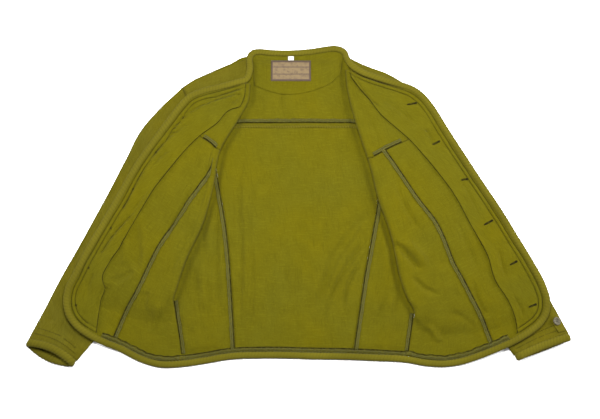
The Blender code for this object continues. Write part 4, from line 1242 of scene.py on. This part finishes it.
class JacketSizes(bpy.types.PropertyGroup):
    """Sizes of the jacket's cloth and sewing."""

    grid: bpy.props.FloatProperty(
        name="Cloth grid", description="Distance between the points of the cloth", default=0.0034,
        unit="LENGTH", min=0.001, precision=4,
    )
    crease: bpy.props.FloatProperty(
        name="Creases", description="Depth of the back's creases, 1 as laid", default=1.0, min=0.0, max=1.5
    )
    rib_pitch: bpy.props.FloatProperty(
        name="Rib pitch", description="Distance between the piping's ribs", default=0.0064, unit="LENGTH",
        precision=4,
    )
    stitch: bpy.props.FloatProperty(
        name="Stitch length", description="Length of a topstitch", default=0.0032, unit="LENGTH", precision=4
    )
    stitch_pitch: bpy.props.FloatProperty(
        name="Stitch pitch", description="Distance from stitch to stitch", default=0.0042, unit="LENGTH",
        precision=4,
    )
    thread: bpy.props.FloatProperty(
        name="Thread", description="Radius of the topstitch thread and painted shade", default=0.00042, unit="LENGTH",
        precision=5,
    )
    camera_lens: bpy.props.FloatProperty(name="Lens", description="Focal length in mm", default=50.0)


def colour_property(name, description, default):
    return bpy.props.FloatVectorProperty(
        name=name, description=description, default=default, subtype="COLOR", size=3, min=0.0, max=1.0
    )


class JacketColours(bpy.types.PropertyGroup):
    """Colours of the jacket's materials."""

    inside: colour_property("Wool inside", "The cloth's inner side", (0.0495, 0.0426, 0.0010))
    outside: colour_property("Wool outside", "The cloth's outer side", (0.0500, 0.0423, 0.0020))
    piping: colour_property("Piping", "The corded piping", (0.0520, 0.0447, 0.0034))
    overlock: colour_property("Overlock", "Overlocked allowances", (0.0320, 0.0300, 0.0060))
    overlock_thread: colour_property("Overlock thread", "Threads on the allowances", (0.0620, 0.0600, 0.0200))
    # topstitch thread, also used for the painted shade of the ticks on the back yoke's gathered row
    thread: colour_property("Topstitch", "Topstitch thread", (0.0160, 0.0130, 0.0010))
    # buttonhole thread, also laid near-black as painted shade along the facings' free edges and in the
    # buttonhole slits
    buttonhole: colour_property("Buttonholes", "Buttonhole thread", (0.0060, 0.0052, 0.0008))
    button: colour_property("Buttons", "The buttons' horn", (0.0360, 0.0310, 0.0160))
    label: colour_property("Label", "The label's ground", (0.0920, 0.0650, 0.0320))
    label_border: colour_property("Label border", "The label's woven border", (0.0340, 0.0220, 0.0160))
    tab: colour_property("Tab", "The size tab", (0.3400, 0.3350, 0.3100))
    floor: colour_property("Floor", "The floor", (0.900, 0.900, 0.900))


def fronts():
    """Both fronts and sleeves with their creases."""
    made = {}
    for name, table in FRONT_TABLES.items():
        front = Front(table, Relief(FRONT_CREASES[name]))
        sleeve = Sleeve(SLEEVE_TABLES[name], front, Relief(SLEEVE_CREASES[name], 0.5))
        made[name] = (table, front, sleeve)
    return made


class JACKET_OT_back(bpy.types.Operator):
    """Add the back yoke, the back centre and both back sides"""

    bl_idname = "jacket.back"
    bl_label = "Back"

    def execute(self, context):
        height = back_height(Relief(BACK_CREASES))
        half_gap = SEAM_GAP / 2
        yoke_top = Curve(SHOULDER_LEFT + NECKLINE_OF_YOKE + SHOULDER_RIGHT)
        seam = Curve(nudged(YOKE_SEAM, y=-half_gap))
        first_x, last_x = YOKE_SEAM[0][0], YOKE_SEAM[-1][0]
        left_share = (BACK_PRINCESS_LEFT[0][0] - first_x) / (last_x - first_x)
        right_share = (BACK_PRINCESS_RIGHT[0][0] - first_x) / (last_x - first_x)
        # each panel's near and far edge, its start at the yoke seam and its end, then about how wide it is
        panels = {
            "back_yoke": (
                yoke_side(BODY_SIDE_LEFT),
                yoke_side(BODY_SIDE_RIGHT),
                Curve(nudged(YOKE_SEAM, y=half_gap)),
                yoke_top,
                450,
            ),
            "back_centre": (
                Curve(nudged(BACK_PRINCESS_LEFT, x=half_gap, y=-half_gap)),
                Curve(nudged(BACK_PRINCESS_RIGHT, x=-half_gap, y=-half_gap)),
                lambda a: seam(left_share + a * (right_share - left_share)),
                hem_edge(BACK_PRINCESS_LEFT[-1][0], BACK_PRINCESS_RIGHT[-1][0]),
                290,
            ),
            "back_side_left": (
                panel_side(BODY_SIDE_LEFT, LOW_SIDE_SEAM_LEFT),
                Curve(nudged(BACK_PRINCESS_LEFT, x=-half_gap, y=-half_gap)),
                lambda a: seam(a * left_share),
                hem_edge(LOW_SIDE_SEAM_LEFT[-1][0], BACK_PRINCESS_LEFT[-1][0]),
                80,
            ),
            "back_side_right": (
                Curve(nudged(BACK_PRINCESS_RIGHT, x=half_gap, y=-half_gap)),
                panel_side(BODY_SIDE_RIGHT, LOW_SIDE_SEAM_RIGHT),
                lambda a: seam(right_share + a * (1 - right_share)),
                hem_edge(BACK_PRINCESS_RIGHT[-1][0], LOW_SIDE_SEAM_RIGHT[-1][0]),
                80,
            ),
        }
        for node, (*edges, width) in panels.items():
            surface = dipped(on_back(Patch(*edges), height), width)
            cloth_piece(f"{node}_cloth", surface, "wool inside", [node], near=(0.8, 0.0))
        return {"FINISHED"}


class JACKET_OT_back_trims(bpy.types.Operator):
    """Add the neck facing, the bare label and tab, and the overlocked allowances of the back"""

    bl_idname = "jacket.back_trims"
    bl_label = "Back facing, label and allowances"

    def execute(self, context):
        height = back_height(Relief(BACK_CREASES))
        lift = CLOTH + SEAM_GAP
        facing = Patch(
            straight(NECK_FACING_EDGE[0], NECK_FACING_TOP[0]),
            straight(NECK_FACING_EDGE[-1], NECK_FACING_TOP[-1]),
            Curve(NECK_FACING_EDGE),
            Curve(NECK_FACING_TOP),
        )
        cloth_piece(
            "back_neck_facing_cloth", on_back(facing, height, lift), "wool inside",
            ["back_neck_facing"], thick=FACING,
        )
        for node, centre, size, finish, slot in (
            ("label", LABEL_CENTRE, LABEL_SIZE, "label satin", "label"),
            ("size_tab", TAB_CENTRE, TAB_SIZE, "tab satin", "size_tab"),
        ):
            def surface(u, v, centre=centre, size=size):
                plan = np.column_stack([centre[0] + (u - 0.5) * size[0], centre[1] + (v - 0.5) * size[1]])
                return np.column_stack([plan, height(plan) + lift + FACING + 0.25])

            cloth_piece(
                f"{node}_woven", surface, finish, [node], step=2.0, thick=0.5,
            )
        half = np.array(LABEL_SIZE) / 2 - 1.2
        corners = np.array(LABEL_CENTRE) + half * np.array([(-1, -1), (1, -1), (1, 1), (-1, 1), (-1, -1)])
        round_label = evenly(np.column_stack([corners, np.zeros(5)]), 1.0)
        round_label[:, 2] = height(round_label[:, :2]) + lift + FACING + 0.75
        thread_piece(
            "label_stitches", [stitch_path(round_label, 1.8, 2.6, 0.3, 0.4)], 0.22, "topstitch thread and painted shade",
        )
        bands = (
            ("allowance_back_yoke", ((-128, 177), (-1, 177.5), (126, 177)), 0.5, ALLOWANCE, (0.0, 1.0)),
            ("allowance_back_princess_left", BACK_PRINCESS_LEFT, -0.5, -ALLOWANCE, (0.03, 0.985)),
            ("allowance_back_princess_right", BACK_PRINCESS_RIGHT, 0.5, ALLOWANCE, (0.03, 0.985)),
            ("allowance_side_left", LOW_SIDE_SEAM_LEFT, 1.0, ALLOWANCE, (0.0, 0.9)),
            ("allowance_side_right", LOW_SIDE_SEAM_RIGHT, -1.0, -ALLOWANCE, (0.0, 0.88)),
            ("allowance_hem_back", HEM, PIPING_WIDTH / 2 + 10.0, PIPING_WIDTH / 2 - 1.0, (0.01, 0.99)),
        )

        def settled(plan, rise):
            return np.column_stack([plan, height(plan) + lift + rise])

        paths = []
        for node, *band in bands:
            paths += allowance_piece(node, *strip(*band, settled), "back_centre_cloth")
        thread_piece("overlock_threads_back", paths, 0.3, "overlock thread")
        self.yoke_welt(height)
        return {"FINISHED"}

    def yoke_welt(self, height):
        """The gathered row under the yoke, with a short dark tick of painted shade at each gather."""
        first, last = YOKE_WELT_ENDS
        x = np.arange(first, last, 1.0)
        welt = np.column_stack([x, YOKE_WELT_Y + 0.4 * np.sin(x / 17)])
        welt = np.column_stack([welt, height(welt) + CLOTH])

        def ribs(reach, angle):
            return (0.5 + 0.5 * np.sin(2 * math.pi * reach / YOKE_WELT_PITCH + 2 * angle)) ** 0.7

        tube = tube_mesh(welt, 2.6, 1.3, 12, ribs=ribs)
        add_piece("back_yoke_welt", tube, "corded piping", ())
        # painted shade: dark thread ticks across the welt stand for the shade in the grooves between its
        # gathers
        ticks = []
        for start in np.arange(first + 3, last - 4, YOKE_WELT_PITCH):
            tick = np.column_stack([np.linspace(start, start + 2.6, 5), np.linspace(172.4, 166.8, 5)])
            ticks.append(np.column_stack([tick, height(tick) + CLOTH + np.array((0.3, 1.1, 1.5, 1.1, 0.3))]))
        thread_piece("back_yoke_ticks", ticks, 0.34, "topstitch thread and painted shade", 6)


class JACKET_OT_fronts(bpy.types.Operator):
    """Add both flipped fronts with their rolls, facings, allowances and unturned under layers"""

    bl_idname = "jacket.fronts"
    bl_label = "Fronts"

    def execute(self, context):
        for name, (table, front, _) in fronts().items():
            self.build(name, table, front)
        return {"FINISHED"}

    def build(self, name, table, front):
        yoke_line = front.line(table["yoke"], 0, 1)
        princess_line = front.line(table["princess"], 1, 0)
        facing_line = front.line(table["facing"], 1, 0)
        gap_b = SEAM_GAP / front.fold.length
        gap_a = SEAM_GAP / 2 / 200.0
        narrow = 0.04
        # the share of a sheet's width that goes round the roll
        lip = 0.22

        def roll_and_sheet(u, reach):
            return np.where(u < lip, -(lip - u) / lip, (u - lip) / (1 - lip) * reach)

        def yoke(u, v):
            s = roll_and_sheet(u, 1.0)
            return front(s, v * (yoke_line(np.clip(s, 0, 1)) - gap_b))

        def below_yoke(s, v):
            top = yoke_line(np.clip(s, 0, 1)) + gap_b
            return top + v * (1 - top)

        def settled(v, share_at):
            """A place below the yoke seam, where s depends on b and b on s."""
            b = v
            for _ in range(12):
                s = share_at(b)
                b = below_yoke(s, v)
            return front(s, b)

        def side(u, v):
            return settled(v, lambda b: roll_and_sheet(u, np.maximum(princess_line(b), narrow) - gap_a))

        def centre(u, v):
            def share_at(b):
                first = np.maximum(princess_line(b), narrow) + gap_a
                return first + u * (1 - first)

            return settled(v, share_at)

        layers = {
            "front_yoke": (yoke, (0.0, 0.3), "folded"),
            "front_side": (dipped(side, 110, sides=(False, True)), (0.0, 0.0), "folded"),
            "front_centre": (dipped(centre, 110, sides=(True, False)), (0.6, 0.0), "laid"),
        }
        for node, (surface, near, held) in layers.items():
            cloth_piece(
                f"{node}_{name}_cloth", surface, "wool inside", [f"{node}_{name}"], near=near,
                held=held,
            )

        def facing(u, v):
            b = 0.002 + v * 0.994
            a = np.maximum(facing_line(b), 0.02)
            # the free edge stands off here and there
            reach = v * front.fold.length
            off = 0.7 + 0.5 * np.sin(reach / 31 + 1.0) + 0.4 * np.sin(reach / 14.0)
            lift = CLOTH + LAYER_GAP * 0.5 + np.maximum(off, 0.0) * np.exp(-((u * 60 / 9) ** 2))
            flat = front.raised(a + u * (0.996 - a), b, lift)
            flat[:, 2] += 1.1 + front.stitched(flat[:, :2])
            return flat

        cloth_piece(
            f"facing_{name}_cloth", facing, "wool inside", [f"facing_{name}"], step=2.1,
            thick=FACING, near=(0.5, 0.0),
        )
        # painted shadow: a near-black tube in the gap under the facing's free edge stands for the shade there
        shares = np.linspace(0.004, 0.99, 400)
        edge_shadow_line = front.raised(np.maximum(facing_line(shares), 0.02), shares, CLOTH + 0.4)
        edge_shadow_line[:, 2] += 0.25 * np.sin(shares * 300)
        thread_piece(f"facing_edge_shadow_{name}", [edge_shadow_line], 0.62, "buttonhole thread and painted shade", 6)
        self.allowances(name, table, front, facing_line)
        self.under_layer(name, table, front)

    def allowances(self, name, table, front, facing_line):
        lift = CLOTH + SEAM_GAP
        last = facing_line(np.array([0.97]))[0]

        def settled(plan, rise):
            return front.on_sheet(plan, lift + rise)

        def hem(u, v):
            share = 1.0 + (0.02 + v * (last - 0.02)) * (front.at["low"] - 1.0)
            reach = share * front.piping.length
            uneven = 0.7 * np.sin(reach / 8.3) + 0.6 * np.sin(reach / 3.1 + 1.0)
            offset = PIPING_WIDTH / 2 - 1.5 + (1 - u) * (12.0 + uneven)
            inward = -front.side * front.piping.left_normal(share)
            plan = front.piping(share)[:, :2] + inward * offset[:, None]
            return front.on_sheet(plan, lift + 0.5 * (1 - u))

        free = Curve(table["yoke"]).row_share(table["yoke_free_rows"])
        middle = hem(np.full(20, 0.5), np.linspace(0, 1, 20))
        near, far = front.side * SEAM_GAP, front.side * ALLOWANCE
        bands = {
            "yoke": strip(table["yoke"], near, far, free, settled),
            "princess": strip(table["princess"], -near, -far, (0.0, 1.0), settled),
            "hem": (hem, np.linalg.norm(np.diff(middle, axis=0), axis=1).sum()),
        }
        paths = []
        for part, band in bands.items():
            paths += allowance_piece(f"allowance_front_{part}_{name}", *band, f"front_side_{name}_cloth")
        thread_piece(f"overlock_threads_front_{name}", paths, 0.3, "overlock thread")

    def under_layer(self, name, table, front):
        body_side = Curve(table["body_side"])
        shares = np.linspace(0.03, table["under_end"], 10)
        fold_side = front.roll_top(shares)[:, :2] + front.side * front.fold.left_normal(shares) * FOLD_GAP
        neck = np.array([0.0, 0.5, 1.0]) * front.at["neck"] * 0.55
        inset = front.side * front.piping.left_normal(neck) * (PIPING_WIDTH / 2 - TUCK)
        neck_side = front.piping(neck)[:, :2] + inset
        near = Curve(np.concatenate([neck_side, fold_side]))
        last = body_side.row_share(len(table["body_side"]) - 1) * table["under_side_end"]

        def far(b):
            return body_side(b * last) - front.side * body_side.left_normal(b * last) * ARMHOLE_GAP

        shoulder = Curve(tuple(reversed(table["shoulder"])))
        patch = Patch(near, far, shoulder, straight(near(1.0)[0], far(1.0)[0]))

        def surface(a, b):
            rise = CLOTH + 0.1 + (UNDER_LAYER - CLOTH - 0.1) * smoothstep(b / 0.06)
            return np.column_stack([patch(a, b), rise])

        cloth_piece(
            f"front_under_{name}_cloth", dipped(surface, 130, sides=(False, True)), "wool outside",
            [f"front_under_{name}"], step=4.5, near=(0.5, 0.5),
        )


class JACKET_OT_sleeves(bpy.types.Operator):
    """Add both sleeves, each an upper and an under half, and the lapped vent of the right cuff"""

    bl_idname = "jacket.sleeves"
    bl_label = "Sleeves"

    def execute(self, context):
        for name, (_, _, sleeve) in fronts().items():
            halves = (
                ("under", sleeve.under, 4.5, []),
                ("upper", sleeve.upper, 4.0, [f"under_sleeve_{name}_cloth"]),
            )
            for half, surface, step, on in halves:
                cloth_piece(
                    f"{half}_sleeve_{name}_cloth", surface, "wool outside",
                    [f"{half}_sleeve_{name}"], step=step, near=(0.85, 0.0),
                )
            if name == "right":
                def lap(u, v, sleeve=sleeve):
                    return sleeve.upper_raised(0.03 + 0.14 * u, 0.94 + 0.045 * v, CLOTH + 0.5)

                cloth_piece(
                    "cuff_vent_right_cloth", lap, "wool outside", ["cuff_vent_right"],
                    step=2.0, thick=FACING,
                )
        return {"FINISHED"}


class JACKET_OT_piping(bpy.types.Operator):
    """Add the ribbed piping round the jacket's edge and the rolled rims of the cuffs"""

    bl_idname = "jacket.piping"
    bl_label = "Piping"

    def execute(self, context):
        pitch = sizes().rib_pitch * 1000
        strands = 2

        def ribs(reach, angle):
            wander = 0.35 * np.sin(reach / 37.0) + 0.25 * np.sin(reach / 11.0 + 2.0)
            wave = np.sin(2 * math.pi * reach / pitch + strands * angle + wander)
            return (0.5 + 0.5 * wave) ** 0.6

        low = PIPING_HEIGHT / 2
        edge = [(x, y, low) for x, y in NECK]
        edge += list(FRONT_TABLES["right"]["piping"])
        edge += [(x, y, low) for x, y in reversed(HEM[1:-1])]
        edge += list(reversed(FRONT_TABLES["left"]["piping"]))
        edge.append(edge[0])
        path = evenly(Curve(edge)(np.linspace(0, 1, 3000)), 1.5)[:-1]
        tube = tube_mesh(path, PIPING_WIDTH / 2, PIPING_HEIGHT / 2, 20, True, ribs=ribs, flat_to=0.0)
        add_piece(
            "edge_piping", tube, "corded piping",
            ["piping_neck", "piping_front_right", "piping_hem", "piping_front_left"],
        )
        for name, (_, _, sleeve) in fronts().items():
            ring = sleeve.ring(160)
            wide = np.tile(np.append(sleeve.along, 0.0), (len(ring), 1))
            tube = tube_mesh(ring, CUFF_ROLL_WIDTH / 2, PIPING_HEIGHT / 2, 20, True, wide, ribs, 0.0)
            add_piece(f"cuff_rim_{name}", tube, "corded piping", [f"cuff_roll_{name}"])
            seam = sleeve.armhole(np.linspace(0, 1, 80))[:, :2]
            seam = np.column_stack([seam, np.full(80, ARMHOLE_TAPE_HEIGHT)])
            tape_piece(f"armhole_tape_{name}", seam, 3.0, 1.0, "wool outside")
        hem = Curve([(x, y + HEM_TAPE_INSET, TAPE_HEIGHT) for x, y in HEM])(np.linspace(0, 1, 200))
        tape_piece("hem_tape", hem, 3.0, 0.7, "wool inside")
        for name, seam in SIDE_TAPES.items():
            tape = Curve([(x, y, TAPE_HEIGHT) for x, y in seam])(np.linspace(0, 1, 40))
            tape_piece(f"side_tape_{name}", tape, 4.0, 0.6, "wool inside")
        for name, start, end in HEM_JOINTS:
            joint = np.linspace((*start, HEM_JOINT_HEIGHT), (*end, HEM_JOINT_HEIGHT), 12)
            tape_piece(f"hem_joint_{name}", joint, 4.8, 0.8, "overlocked edge", 12)
        return {"FINISHED"}


class JACKET_OT_stitching(bpy.types.Operator):
    """Add the rows of topstitching beside the piping and above the cuffs, and the buttonholes"""

    bl_idname = "jacket.stitching"
    bl_label = "Stitching and buttonholes"

    def execute(self, context):
        length, pitch = sizes().stitch * 1000, sizes().stitch_pitch * 1000
        radius = sizes().thread * 1000
        on_facing = CLOTH + LAYER_GAP * 0.5 + FACING + 1.0
        paths = []
        made = fronts()
        for _, front, sleeve in made.values():
            shares = np.linspace(front.at["neck"] * 1.1, front.at["low"] + 0.02, 420)
            inward = -front.side * front.piping.left_normal(shares)
            for inset in STITCH_ROWS:
                plan = front.piping(shares)[:, :2] + inward * (PIPING_WIDTH / 2 + inset)
                line = front.on_sheet(plan, on_facing)
                paths.append(stitch_path(line, length, pitch, 0.35, 0.8))
            a = np.linspace(0.06, 0.94, 60)
            for back in (0.975, 0.955):
                line = sleeve.upper_raised(a, np.full(60, back), CLOTH)
                paths.append(stitch_path(line, length, pitch, 0.35, 0.8))
        thread_piece("topstitching", paths, radius, "topstitch thread and painted shade")
        self.buttonholes(made["right"][1], on_facing)
        self.button_anchors(made["left"][1], on_facing)
        return {"FINISHED"}

    def buttonholes(self, front, on_facing):
        rings, slits = [], []
        for inner, outer in BUTTONHOLES:
            inner, outer = np.array(inner, float), np.array(outer, float)
            ahead = (outer - inner) / np.linalg.norm(outer - inner)
            square = np.array([-ahead[1], ahead[0]])
            length = np.linalg.norm(outer - inner)
            turn = np.linspace(0, 2 * math.pi, 41)[:-1]
            reach = (0.5 - 0.5 * np.cos(turn)) * length
            eyelet = 1.5 + 1.3 * smoothstep((reach - length + 5) / 3)
            wide = eyelet * np.sin(turn)
            plan = inner + reach[:, None] * ahead + wide[:, None] * square
            rings.append(front.on_sheet(plan, on_facing + 0.5))
            # painted shade: a dark tube along each slit, widest at the keyhole, stands for the shade in the
            # buttonhole's opening
            slit = inner + np.linspace(1, length - 1, 16)[:, None] * ahead
            slits.append(front.on_sheet(slit, on_facing + 0.25))
        parts = [tube_mesh(ring, 0.5, 0.5, 6, True) for ring in rings]
        add_piece("buttonhole_purls", merged(parts), "buttonhole thread and painted shade", ())
        widths = np.interp(np.linspace(0, 1, 16), [0, 0.1, 0.7, 0.85, 1], [0.2, 0.55, 0.6, 1.6, 0.8])
        parts = [tube_mesh(slit, widths, 0.35, 6) for slit in slits]
        add_piece("buttonhole_slit_shade", merged(parts), "buttonhole thread and painted shade", ())

    def button_anchors(self, front, on_facing):
        """The thread crosses that hold the buttons, as they show on the facing."""
        paths = []
        for number in range(BUTTONS):
            middle = button_place(front, number)[:2]
            for turn in (0.4, 2.0):
                ahead = np.array([math.cos(turn), math.sin(turn)])
                plan = middle + np.linspace(-2.6, 2.6, 7)[:, None] * ahead
                line = front.on_sheet(plan, on_facing)
                line[:, 2] += np.array([-0.6, 0.3, 0.4, 0.5, 0.4, 0.3, -0.6])
                paths.append(line)
        thread_piece("button_anchors", paths, 0.5, "buttonhole thread and painted shade", 6)


def button_place(front, number):
    """The middle of a front button, under the flipped left front."""
    share = np.array([front.at["top"] + (FIRST_BUTTON + number * BUTTON_PITCH) / front.piping.length])
    inward = -front.side * front.piping.left_normal(share)
    middle = front.piping(share)[:, :2] + inward * BUTTON_INSET
    around = middle + BUTTON_DIAMETER / 2 * np.array([(0, 0), (1, 0), (-1, 0), (0, 1), (0, -1)])
    shares = front.locate(around)
    lowest = front(shares[:, 0], shares[:, 1])[:, 2].min()
    return np.array((*middle[0], lowest - LAYER_GAP - BUTTON_THICK / 2))


class JACKET_OT_buttons(bpy.types.Operator):
    """Add the front buttons and the cuff buttons"""

    bl_idname = "jacket.buttons"
    bl_label = "Buttons"

    def execute(self, context):
        made = fronts()
        _, front, sleeve = made["left"]
        for number in range(BUTTONS):
            place = button_place(front, number)
            self.button(f"front_button_{number + 1}", place, (0, 0, -1), BUTTON_DIAMETER)
        place = sleeve.under(np.array([0.3]), np.array([0.965]))[0]
        place[2] = CUFF_BUTTON_THICK / 2
        self.button("cuff_button_left", place, (0, 0, -1), CUFF_BUTTON_DIAMETER)
        _, _, sleeve = made["right"]
        at = np.array([0.1]), np.array([0.945])
        on_lap = CLOTH + 0.5 + FACING
        foot = sleeve.upper_raised(*at, on_lap)[0]
        place = sleeve.upper_raised(*at, on_lap + CUFF_BUTTON_THICK / 2 + 0.3)[0]
        self.button("cuff_button_right", place, place - foot, CUFF_BUTTON_DIAMETER)
        return {"FINISHED"}

    def button(self, node, place, axis, diameter):
        """A turned button: a raised rim, a dished middle and two crossed threads over it, as through four
        holes.
        """
        disc = bmesh.new()
        rim = [disc.verts.new((r * diameter / 2, 0.0, (z - 0.5) * TURNED_THICK)) for r, z in BUTTON_SECTION]
        edges = [disc.edges.new(pair) for pair in zip(rim, rim[1:])]
        bmesh.ops.spin(
            disc, geom=rim + edges, cent=(0, 0, 0), axis=(0, 0, 1), steps=40, angle=2 * math.pi,
            use_merge=True,
        )
        bmesh.ops.remove_doubles(disc, verts=disc.verts, dist=1e-4)
        bmesh.ops.recalc_face_normals(disc, faces=disc.faces)
        turn = Vector(axis).to_track_quat("Z", "Y").to_matrix().to_4x4()
        move = Matrix.Translation(Vector(np.array(place) - MIDDLE) * MM) @ turn @ Matrix.Scale(MM, 4)
        bmesh.ops.transform(disc, matrix=move, verts=disc.verts)
        add_piece(f"{node}_turned", disc, "horn", [node])
        parts = []
        for x, y in ((1, 1), (1, -1)):
            line = np.array([(x, y, 0.0), (0, 0, 0.5), (-x, -y, 0.0)]) * (1.6, 1.6, 1.0)
            line = evenly(line, 0.6)
            line[:, 2] += 0.35
            path = np.array([tuple(move @ Vector(point)) for point in line]) / MM + MIDDLE
            parts.append(tube_mesh(path, 0.35, 0.35, 6))
        add_piece(f"{node}_thread", merged(parts), "buttonhole thread and painted shade", ())


class JACKET_OT_stage(bpy.types.Operator):
    """Add the floor, the lights and the camera"""

    bl_idname = "jacket.stage"
    bl_label = "Stage"

    def execute(self, context):
        scene = context.scene
        ground = bmesh.new()
        bmesh.ops.create_grid(ground, x_segments=1, y_segments=1, size=FLOOR_HALF)
        mesh = bpy.data.meshes.new("floor")
        ground.to_mesh(mesh)
        ground.free()
        floor = bpy.data.objects.new("floor", mesh)
        floor.location.z = -FLOOR_DROP
        look = Finish("pale floor", 0.9, Specular_IOR_Level=0.1)
        grain = look.noise(look.place(), 30.0, 2.0)
        mesh.materials.append(
            look.finish(look.mixed(grain, shade(colours().floor, 0.985), shade(colours().floor, 1.0)))
        )
        scene.collection.objects.link(floor)
        world = bpy.data.worlds.new("studio")
        world.use_nodes = True
        backdrop = world.node_tree.nodes["Background"]
        backdrop.inputs["Color"].default_value = (1.0, 1.0, 1.0, 1.0)
        backdrop.inputs["Strength"].default_value = WORLD_LIGHT
        scene.world = world
        for name, place, size, power in LAMPS:
            lamp = bpy.data.lights.new(name, "AREA")
            lamp.shape = "SQUARE"
            lamp.size = size
            lamp.energy = power
            light = bpy.data.objects.new(name, lamp)
            light.location = place
            light.rotation_euler = (-Vector(place)).to_track_quat("-Z", "Y").to_euler()
            scene.collection.objects.link(light)
        lens = bpy.data.cameras.new("camera")
        lens.lens = sizes().camera_lens
        lens.sensor_width = 36.0
        camera = bpy.data.objects.new("camera", lens)
        elevation = math.radians(CAMERA_ELEVATION)
        aim = (np.array(CAMERA_AIM) - MIDDLE) * MM
        camera.location = aim + CAMERA_REACH * np.array((0.0, -math.cos(elevation), math.sin(elevation)))
        camera.rotation_euler = (math.radians(90.0 - CAMERA_ELEVATION), 0.0, 0.0)
        scene.collection.objects.link(camera)
        scene.camera = camera
        scene.view_settings.view_transform = "Standard"
        return {"FINISHED"}


class JACKET_PT_tools(bpy.types.Panel):
    """The jacket's pieces and sizes"""

    bl_idname = "JACKET_PT_tools"
    bl_label = "Collarless Jacket"
    bl_space_type = "VIEW_3D"
    bl_region_type = "UI"
    bl_category = "Jacket"

    def draw(self, context):
        for operator in OPERATORS:
            self.layout.operator(operator.bl_idname)
        for group in (context.scene.jacket_sizes, context.scene.jacket_colours):
            for name in group.bl_rna.properties.keys():
                if name not in {"rna_type", "name"}:
                    self.layout.prop(group, name)


OPERATORS = (
    JACKET_OT_back,
    JACKET_OT_back_trims,
    JACKET_OT_fronts,
    JACKET_OT_sleeves,
    JACKET_OT_piping,
    JACKET_OT_stitching,
    JACKET_OT_buttons,
    JACKET_OT_stage,
)
CLASSES = (JacketSizes, JacketColours, *OPERATORS, JACKET_PT_tools)


def register():
    for item in CLASSES:
        bpy.utils.register_class(item)
    bpy.types.Scene.jacket_sizes = bpy.props.PointerProperty(type=JacketSizes)
    bpy.types.Scene.jacket_colours = bpy.props.PointerProperty(type=JacketColours)


def unregister():
    del bpy.types.Scene.jacket_colours
    del bpy.types.Scene.jacket_sizes
    for item in reversed(CLASSES):
        bpy.utils.unregister_class(item)


def main():
    register()
    for operator in OPERATORS:
        group, name = operator.bl_idname.split(".")
        getattr(getattr(bpy.ops, group), name)()
    left_plain = sorted(name for name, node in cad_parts.items() if not node.hide_render)
    if left_plain:
        raise RuntimeError(f"no piece stands for {left_plain}")


if __name__ == "__main__":
    main()
